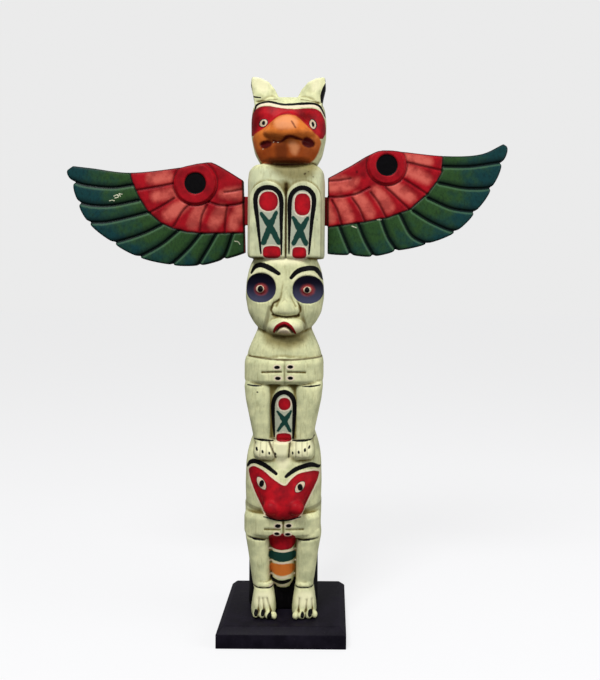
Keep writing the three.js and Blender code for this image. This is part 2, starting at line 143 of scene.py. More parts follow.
def egg(x, y, z, wide, deep, tall):
    deselectAll()
    bpy.ops.mesh.primitive_uv_sphere_add(segments=40, ring_count=24, radius=1)
    piece = bpy.context.object
    points = pointsOf(piece) / 1000
    points *= (wide * poleForm["halfWidth"], deep * poleForm["halfDepth"], tall * poleForm["halfWidth"])
    points += (poleForm["middleX"] + x * poleForm["halfWidth"], -y * poleForm["halfDepth"], z)
    movePoints(piece, points)
    return piece


def slab(outline, frontY, backY):  # an outline in the X-Z plane given a thickness
    deselectAll()
    bpy.ops.mesh.primitive_circle_add(vertices=len(outline), radius=1, fill_type="NGON")
    piece = bpy.context.object
    points = np.array([(x, frontY, z) for x, z in outline])
    movePoints(piece, points)
    bpy.ops.object.mode_set(mode="EDIT")
    bpy.ops.mesh.select_all(action="SELECT")
    bpy.ops.mesh.extrude_region_move(TRANSFORM_OT_translate={"value": (0, (backY - frontY) / 1000, 0)})
    bpy.ops.mesh.select_all(action="SELECT")
    bpy.ops.mesh.normals_make_consistent(inside=False)
    bpy.ops.object.mode_set(mode="OBJECT")
    return piece


def box(low, high):
    deselectAll()
    bpy.ops.mesh.primitive_cube_add(size=2)
    piece = bpy.context.object
    low, high = np.array(low, float), np.array(high, float)
    movePoints(piece, pointsOf(piece) / 1000 * (high - low) / 2 + (high + low) / 2)
    return piece


def spline(points, count):  # an even run of points on a smooth open curve
    points = np.array(points, float)
    ends = np.vstack([2 * points[0] - points[1], points, 2 * points[-1] - points[-2]])
    run = []
    for i in range(1, len(ends) - 2):
        a, b, c, d = ends[i - 1], ends[i], ends[i + 1], ends[i + 2]
        for t in np.linspace(0, 1, 16, endpoint=False):
            run.append(0.5 * (2 * b + (c - a) * t + (2 * a - 5 * b + 4 * c - d) * t * t
                              + (3 * b - a - 3 * c + d) * t ** 3))
    run.append(ends[-2])
    run = np.array(run)
    lengths = np.concatenate([[0], np.cumsum(np.linalg.norm(np.diff(run, axis=0), axis=1))])
    even = np.linspace(0, lengths[-1], count)
    return np.column_stack([np.interp(even, lengths, run[:, k]) for k in (0, 1)])


def rounded(points, rounds=2):  # a closed outline with its corners cut round
    points = np.array(points, float)
    for _ in range(rounds):
        after = np.roll(points, -1, axis=0)
        points = np.stack([0.8 * points + 0.2 * after, 0.2 * points + 0.8 * after], axis=1).reshape(-1, 2)
    return points


def lineDistance(points, x, z, widths=None):  # distance to a run of strokes, the width there, the side
    points = np.array(points, float)
    widths = [0] * len(points) if widths is None else widths
    best = np.full(len(x), 1e6)
    wide = np.zeros(len(x))
    side = np.zeros(len(x))
    for i in range(len(points) - 1):
        (ax, az), (bx, bz) = points[i], points[i + 1]
        dx, dz = bx - ax, bz - az
        t = np.clip(((x - ax) * dx + (z - az) * dz) / (dx * dx + dz * dz + 1e-9), 0, 1)
        away = np.hypot(x - ax - t * dx, z - az - t * dz)
        closer = away < best
        best = np.where(closer, away, best)
        wide = np.where(closer, widths[i] + t * (widths[i + 1] - widths[i]), wide)
        side = np.where(closer, np.sign((x - ax) * dz - (z - az) * dx), side)
    return best, wide, side


def patchDistance(outline, x, z):  # positive inside a closed outline
    outline = np.array(outline, float)
    away, _, _ = lineDistance(np.vstack([outline, outline[:1]]), x, z)
    inside = np.zeros(len(x), bool)
    for (ax, az), (bx, bz) in zip(outline, np.roll(outline, -1, axis=0)):
        crosses = (az > z) != (bz > z)
        inside ^= crosses & (x < (bx - ax) * (z - az) / (bz - az + 1e-12) + ax)
    return np.where(inside, away, -away)


def markField(mark, x, z):
    kind = mark[0]
    if kind == "line":
        widths = mark[1] if isinstance(mark[1], tuple) else (mark[1],) * len(mark[2])
        count = 6 * len(mark[2])
        points = spline(mark[2], count)
        wide = np.interp(np.linspace(0, 1, count), np.linspace(0, 1, len(widths)), widths)
        away, wide, _ = lineDistance(points, x, z, wide)
        return wide - away
    if kind == "patch":
        return patchDistance(rounded(mark[1]), x, z)
    if kind == "oval":
        cx, cz, rx, rz = mark[1:5]
        tilt = math.radians(mark[5] if len(mark) > 5 else 0)
        power = mark[6] if len(mark) > 6 else 2
        u = ((x - cx) * math.cos(tilt) + (z - cz) * math.sin(tilt)) / rx
        v = ((z - cz) * math.cos(tilt) - (x - cx) * math.sin(tilt)) / rz
        return (1 - (np.abs(u) ** power + np.abs(v) ** power) ** (1 / power)) * min(rx, rz)
    if kind == "rim":  # a thin line just outside another mark
        return mark[1] - np.abs(markField(mark[3], x, z) + mark[2])
    raise ValueError(kind)


def fieldOf(marks, x, z):
    value = np.full(len(x), -6.0)
    for mark in marks:
        value = np.maximum(value, markField(mark, x, z))
    return value


def storeField(piece, name, values):
    layer = piece.data.attributes.new(name, "FLOAT", "POINT")
    layer.data.foreach_set("value", np.clip(values, -6, 6).astype(np.float32))


def hollowOf(piece, rounds):  # how far each point lies below its surroundings, millimetres
    points, normals = pointsOf(piece), normalsOf(piece)
    edges = np.empty(len(piece.data.edges) * 2, np.int32)
    piece.data.edges.foreach_get("vertices", edges)
    a, b = edges[::2], edges[1::2]
    count = np.bincount(edges, minlength=len(points))
    soft = points.copy()
    for _ in range(rounds):
        for k in range(3):
            total = np.bincount(a, soft[b, k], len(points)) + np.bincount(b, soft[a, k], len(points))
            soft[:, k] = total / np.maximum(count, 1)
    return ((soft - points) * normals).sum(axis=1)


print("stage: helpers ready")


def blocksOf(figure, blocks):  # each block is its stations, then its own settings
    base, height = poleForm[figure + "Base"], poleForm[figure + "Height"]
    return [carvedBlock(base, height, stations, **settings) for stations, settings in blocks]


def bearForms():
    base, height = poleForm["bearBase"], poleForm["bearHeight"]
    forms = blocksOf("bear", [
        ([[0, 0.89, 0.52, 0.94], [0.3, 0.89, 0.52, 0.94], [0.4, 0.92, 0.66, 0.95],
         [0.56, 0.97, 0.84, 0.95], [0.68, 0.98, 0.9, 0.95]], {"x": -0.03}),  # trunk
        ([[0.6, 0.9, 0.84, 0.93], [0.66, 0.96, 0.92, 0.95], [0.8, 0.975, 0.98, 0.96],
         [0.94, 0.96, 0.97, 0.96], [1.0, 0.93, 0.9, 0.95], [1.06, 0.87, 0.74, 0.94],
         [1.14, 0.76, 0.6, 0.9]], {"x": -0.025, "round": 3}),  # head
        ([[0.615, 0.34, 1.12, 0], [0.63, 0.42, 1.22, 0], [0.68, 0.5, 1.28, 0],
         [0.75, 0.62, 1.22, 0], [0.84, 0.8, 1.1, 0], [0.93, 0.82, 0.97, 0],
         [0.97, 0.7, 0.85, 0]], {"x": 0.01, "squareness": 2.6, "round": 2.5}),  # snout
        ([[0.49, 0.92, 0.98, 0.3], [0.51, 0.97, 1.08, 0.3], [0.61, 0.97, 1.1, 0.3],
         [0.635, 0.93, 1.02, 0.3]], {"x": -0.03, "squareness": 2.9, "round": 0.8}),  # arms
        ([[0.155, 0.2, 0.7, 0], [0.2, 0.29, 0.8, 0], [0.36, 0.33, 0.88, 0],
         [0.54, 0.36, 0.9, 0]], {"squareness": 2.4}),  # belly
    ])
    for side in (-1, 1):
        forms += blocksOf("bear", [
            ([[0.165, 0.215, 0.88, 0.2, -0.08 * side], [0.23, 0.24, 0.92, 0.2, -0.06 * side],
             [0.4, 0.285, 0.96, 0.2, -0.01 * side], [0.49, 0.32, 0.97, 0.2, 0.02 * side],
             [0.53, 0.3, 0.9, 0.2, 0.02 * side]], {"x": side * 0.62, "squareness": 3.4}),  # leg
            ([[0, 0.3, 1.08, 0], [0.035, 0.31, 1.13, 0], [0.08, 0.29, 1.1, 0],
             [0.2, 0.22, 0.95, 0]], {"x": 0.03 + side * 0.51, "round": 1.2}),  # foot
        ])
        forms.append(egg(0.03 + side * 0.3, 1.14, base + 0.69 * height, 0.21, 0.21, 0.19))  # nostril
    toes = [(-0.64, 1.1), (-0.48, 1.13), (-0.33, 1.16), (-0.2, 1.19), (0.35, 1.19), (0.5, 1.16),
            (0.66, 1.13), (0.8, 1.08)]
    return forms + [egg(x, y, base + 3.3, 0.085, 0.14, 0.09) for x, y in toes]


def personForms():
    base, height = poleForm["personBase"], poleForm["personHeight"]
    forms = blocksOf("person", [
        ([[-0.02, 0.72, 0.8, 0.9], [0.08, 0.72, 0.78, 0.9], [0.2, 0.84, 0.82, 0.93],
         [0.36, 0.94, 0.86, 0.95], [0.5, 0.94, 0.94, 0.95]], {"x": -0.03}),  # waist
        ([[0.362, 0.96, 0.98, 0.9], [0.378, 1.01, 1.07, 0.95], [0.465, 1.01, 1.07, 0.95],
         [0.493, 0.98, 1.0, 0.94]], {"x": -0.03, "round": 0.8}),  # arms
        ([[0.47, 0.95, 0.93, 0.94], [0.51, 0.95, 0.95, 0.95], [0.55, 0.88, 0.93, 0.92],
         [0.59, 0.79, 0.86, 0.87], [0.64, 0.68, 0.78, 0.8]],
         {"x": -0.03, "squareness": 2.8, "round": 3}),  # shoulders
        ([[0.61, 0.5, 0.86, 0.82], [0.625, 0.6, 0.94, 0.88], [0.665, 0.79, 1.0, 0.93],
         [0.72, 0.94, 1.02, 0.95], [0.8, 1.01, 1.03, 0.96], [0.88, 0.99, 1.02, 0.96],
         [0.94, 0.93, 1.0, 0.94], [0.975, 0.87, 0.97, 0.92], [1.005, 0.78, 0.9, 0.88]],
         {"x": -0.025, "squareness": 2.8, "round": 3}),  # head
        ([[0.703, 0.28, 1.12, 0], [0.72, 0.33, 1.26, 0], [0.75, 0.29, 1.26, 0],
         [0.8, 0.18, 1.14, 0], [0.88, 0.15, 1.03, 0]],
         {"x": 0.05, "squareness": 2.2, "round": 2.2}),  # nose
        ([[0.06, 0.32, 0.9, 0], [0.12, 0.34, 0.95, 0], [0.3, 0.35, 0.98, 0],
         [0.34, 0.28, 0.96, 0], [0.365, 0.16, 0.9, 0]],
         {"x": 0.01, "squareness": 2.6, "round": 2.5}),  # belly
        ([[-0.02, 0.2, 0.96, 0], [0.01, 0.24, 1.02, 0], [0.068, 0.24, 1.0, 0]],
         {"x": -0.05, "round": 1.0}),  # the wedge between the feet
    ])
    for side in (-1, 1):
        forms += blocksOf("person", [
            ([[0.07, 0.235, 0.9, 0.2, -0.15 * side], [0.16, 0.275, 0.96, 0.2, -0.1 * side],
             [0.28, 0.34, 1.0, 0.2, -0.04 * side], [0.35, 0.37, 0.98, 0.2, -0.03 * side],
             [0.37, 0.35, 0.88, 0.2, -0.03 * side]],
             {"x": -0.02 + side * 0.655, "squareness": 3.4}),  # leg
            ([[-0.015, 0.26, 0.98, 0], [0.005, 0.31, 1.08, 0], [0.03, 0.3, 1.08, 0],
             [0.085, 0.22, 0.93, 0]], {"x": 0.01 + side * 0.46, "round": 1.2}),  # foot
        ])
    muzzle = egg(0.05, 0.9, base + 0.657 * height, 0.46, 0.32, 0.25)
    return forms + [muzzle]


def lobeOutline(middle, half, bottom, top):
    turns = np.linspace(0, math.pi, 25)
    arc = [(middle + half * math.cos(t), top - half + half * math.sin(t)) for t in turns]
    return [(middle - half, bottom), (middle + half, bottom)] + arc


def birdForms():
    base, height = poleForm["birdBase"], poleForm["birdHeight"]
    middle, half, deep = poleForm["middleX"], poleForm["halfWidth"], poleForm["halfDepth"]
    forms = blocksOf("bird", [
        ([[0, 0.96, 0.9, 0.93], [0.03, 0.985, 0.94, 0.95], [0.84, 0.985, 0.94, 0.96],
         [0.94, 0.96, 0.9, 0.95], [0.99, 0.88, 0.84, 0.92], [1.01, 0.8, 0.78, 0.9]],
         {"squareness": 4.4, "round": 1.4}),
    ])
    for side in (-1, 1):
        outline = lobeOutline(middle + (0.01 + side * 0.455) * half, 0.43 * half, base, base + 0.81 * height)
        forms.append(slab(outline, -1.02 * deep, -0.72 * deep))
    return forms


def headForms():
    middle, half, deep = poleForm["middleX"], poleForm["halfWidth"], poleForm["halfDepth"]
    shift = poleForm["headOffset"] / half
    top = poleForm["headBase"] + poleForm["headHeight"]
    forms = blocksOf("head", [
        ([[-0.02, 0.6, 0.84, 0.82], [0.04, 0.72, 0.96, 0.88], [0.2, 0.87, 1.0, 0.93],
         [0.45, 0.96, 1.02, 0.96], [0.7, 0.965, 1.0, 0.96], [0.88, 0.93, 0.9, 0.93],
         [0.97, 0.84, 0.78, 0.86], [1.0, 0.74, 0.68, 0.78]],
         {"x": shift, "squareness": 2.9, "round": 2.5}),  # skull
        ([[0.025, 0.5, 0.98, 0], [0.07, 0.6, 1.1, 0], [0.25, 0.66, 1.18, 0],
         [0.42, 0.66, 1.16, 0]], {"x": shift + 0.03, "squareness": 2.4, "round": 2}),  # lower beak
        ([[0.35, 0.42, 1.32, 0], [0.385, 0.6, 1.4, 0], [0.45, 0.68, 1.42, 0],
         [0.56, 0.56, 1.38, 0], [0.66, 0.4, 1.26, 0], [0.72, 0.26, 1.1, 0],
         [0.75, 0.14, 0.94, 0]], {"x": shift + 0.03, "squareness": 2.3, "round": 1.6}),  # upper beak
    ])
    ear = [(0.2, -0.35), (0.23, 0), (0.34, 0.42), (0.5, 0.78), (0.7, 0.97), (0.82, 1), (0.93, 1),
           (0.95, 0.6), (0.89, 0.1), (0.84, -0.5)]
    for side in (-1, 1):
        outline = [(middle + poleForm["headOffset"] + side * u * half, top + v * poleForm["earHeight"])
                   for u, v in ear]
        forms.append(slab(outline, -0.62 * deep, -0.12 * deep))
    return forms


# what is cut below or left standing above the blocks, as [x, z] from the log's middle and each figure's base
cuts = {
    "bearBase": [
        (0.9, 1.3, [(-20.2, 16.2), (-20.4, -0.8)]), (0.9, 1.3, [(-16.7, 16.2), (-14.2, -0.8)]),
        (0.9, 1.3, [(-13.2, 16.2), (-7.4, -0.8)]), (0.9, 1.3, [(15.2, 16.2), (14, -0.8)]),
        (0.9, 1.3, [(21.7, 15.2), (20.4, -0.8)]), (0.9, 1.3, [(26.1, 15.2), (27, -0.8)]),
        (0.8, 1.2, [(-15.5, 76.7), (-2, 76.7)]), (0.8, 1.2, [(3, 76.7), (18, 76.7)]),
        (0.8, 1.4, [(0.6, 87.2), (0.7, 69.2)]), (2.4, 0.8, [(-33, 94.6), (-21, 92)]),
        (2.4, 0.8, [(33, 94.4), (20, 92)]), (1.0, 1.4, [(-31, 68.7), (-16, 66.2)]),
        (1.0, 1.4, [(14, 66.2), (31, 67.7)]), (0.9, 1.0, [(-28, 24.8), (-9, 24.4)]),
        (0.9, 1.0, [(12, 24.8), (29, 24.8)]),
    ],
    "personBase": [
        (0.8, 1.3, [(-19, 74), (-2, 74.4)]), (0.8, 1.3, [(3.5, 74.4), (19, 74)]),
        (0.8, 0.9, [(0.7, 84), (0.8, 64)]), (0.9, 1.0, [(-32, 87.3), (0, 85), (33, 86.6)]),
        (2.4, 0.7, [(-12.5, 131), (-18, 110)]), (2.4, 0.7, [(14.5, 131), (19, 112)]),
        (0.9, 1.4, [(-10, 124.4), (1.6, 122.9), (13, 124)]),
        (0.9, 1.3, [(-4.4, 137.5), (-9.6, 134.5), (-11.3, 128.7), (-9, 124.6)]),
        (0.9, 1.3, [(11.4, 136.3), (13.7, 132.3), (14, 127.6), (12, 124.1)]),
        (0.7, 0.8, [(-20, 12), (-20.3, 1)]), (0.7, 0.8, [(-14.5, 12), (-14.8, 0)]),
        (0.7, 0.8, [(-9, 12), (-9.3, 0)]), (0.7, 0.8, [(11, 12), (11.2, 0)]),
        (0.7, 0.8, [(16.5, 12), (16.8, 1)]), (0.7, 0.8, [(21, 12), (21.2, 2)]),
        (0.8, 1.0, [(-27, 14.6), (27, 14.4)]), (0.9, 1.2, [(-12.4, 12.8), (-6.4, -1)]),
        (0.9, 1.2, [(5.6, 12.8), (4.8, -1)]),
        (1.3, 2.4, [(-6.2, 110.4), (-3.6, 113.4), (0.8, 114.9), (4.6, 113), (7.4, 109.4)]),
    ],
    "birdBase": [(0.9, 1.8, [(1, 60), (1, 0)]), (2.4, 1.0, [(1, 64), (1, 59)])],
    "headBase": [
        (1.9, 2.4, [(-21, 17.3), (-13, 18)]), (1.9, 2.4, [(16.5, 19.4), (24, 18)]),
        (0.8, 1.0, [(-27, 57), (-8, 58)]), (0.8, 1.0, [(13, 58), (30, 56)]),
    ],
}
hollows = {  # round hollows and lumps [x, z, width, height, depth], a lump has a negative depth
    "bearBase": [(-18.8, 116.5, 7, 4.2, -0.7), (15, 114.2, 6, 4, -0.7)],
    "personBase": [
        (-20.6, 148, 13.4, 13.2, 6.5), (20.4, 146.6, 13.4, 12.7, 6.5), (-21.6, 147, 5.6, 4.2, -4.2),
        (19.8, 146.5, 5.2, 3.8, -4.2), (-7.5, 127.5, 4, 4.6, -1.3), (11.2, 127.5, 4, 4.6, -1.3),
        (0.8, 110, 5.5, 3, -0.6),
    ],
    "birdBase": [],
    "headBase": [
        (-19.5, 36, 4.6, 4.2, -0.7), (23.7, 35.3, 4.2, 4.8, -0.7), (-19, 36, 10, 9, 1.0),
        (23.5, 35.5, 9, 9, 1.0), (-20.5, 72, 7.5, 9.5, 1.3), (21.5, 72, 7.5, 9.5, 1.3),
    ],
}


def carvePole(piece):
    points = pointsOf(piece)
    front = np.clip((-normalsOf(piece)[:, 1] + 0.1) / 0.6, 0, 1) * (points[:, 1] < 2)
    for figure, strokes in cuts.items():
        x, z = points[:, 0] - poleForm["middleX"], points[:, 2] - poleForm[figure]
        for width, depth, line in strokes:
            low, high = min(p[1] for p in line) - 6, max(p[1] for p in line) + 6
            near = (z > low) & (z < high)
            away, _, _ = lineDistance(line, x[near], z[near])
            points[near, 1] += depth * np.exp(-(away / width) ** 2) * front[near]
        for cx, cz, wide, tall, depth in hollows[figure]:
            reach = np.hypot((x - cx) / wide, (z - cz) / tall)
            bowl = np.clip(1 - reach ** 2, 0, 1) ** (0.62 if depth > 3 else 1)  # deep ones have steep walls
            points[:, 1] += depth * bowl * front
    movePoints(piece, points)


def tenonBox(ends, ease):  # the tenon's block between two X places, its other sides grown by ease
    tenon = wingForm["tenon"]
    half = np.array([0, tenon["thick"] / 2 + ease, tenon["tall"] / 2 + ease])
    low = np.array([min(ends), wingForm["middleY"], wingForm["tenonZ"]]) - half
    high = np.array([max(ends), wingForm["middleY"], wingForm["tenonZ"]]) + half
    return box(low, high)


def buildPole():
    forms = bearForms() + personForms() + birdForms() + headForms()
    pole = joinAll(forms, "paintedPole")
    applyModifier(pole, "REMESH", mode="VOXEL", voxel_size=poleForm["voxel"] / 1000)
    applyModifier(pole, "SMOOTH", factor=0.5, iterations=3)
    carvePole(pole)
    back = pole.vertex_groups.new(name="back")
    plain = np.flatnonzero(pointsOf(pole)[:, 1] > poleForm["plainFrom"])
    back.add(plain.tolist(), 1.0, "REPLACE")
    applyModifier(pole, "DECIMATE", ratio=0.7, vertex_group="back", use_symmetry=False)
    clearance = wingForm["tenon"]["clearance"]
    cutters = []
    for side in (-1, 1):
        surface = poleForm["middleX"] + side * poleForm["halfWidth"]
        inner = surface - side * (wingForm["tenon"]["inLog"] + clearance)
        cutters.append(tenonBox((inner, surface + side * 8), clearance))
    cutter = joinAll(cutters, "mortises")
    applyModifier(pole, "BOOLEAN", operation="DIFFERENCE", object=cutter, solver="FAST")
    bpy.data.objects.remove(cutter)
    return pole


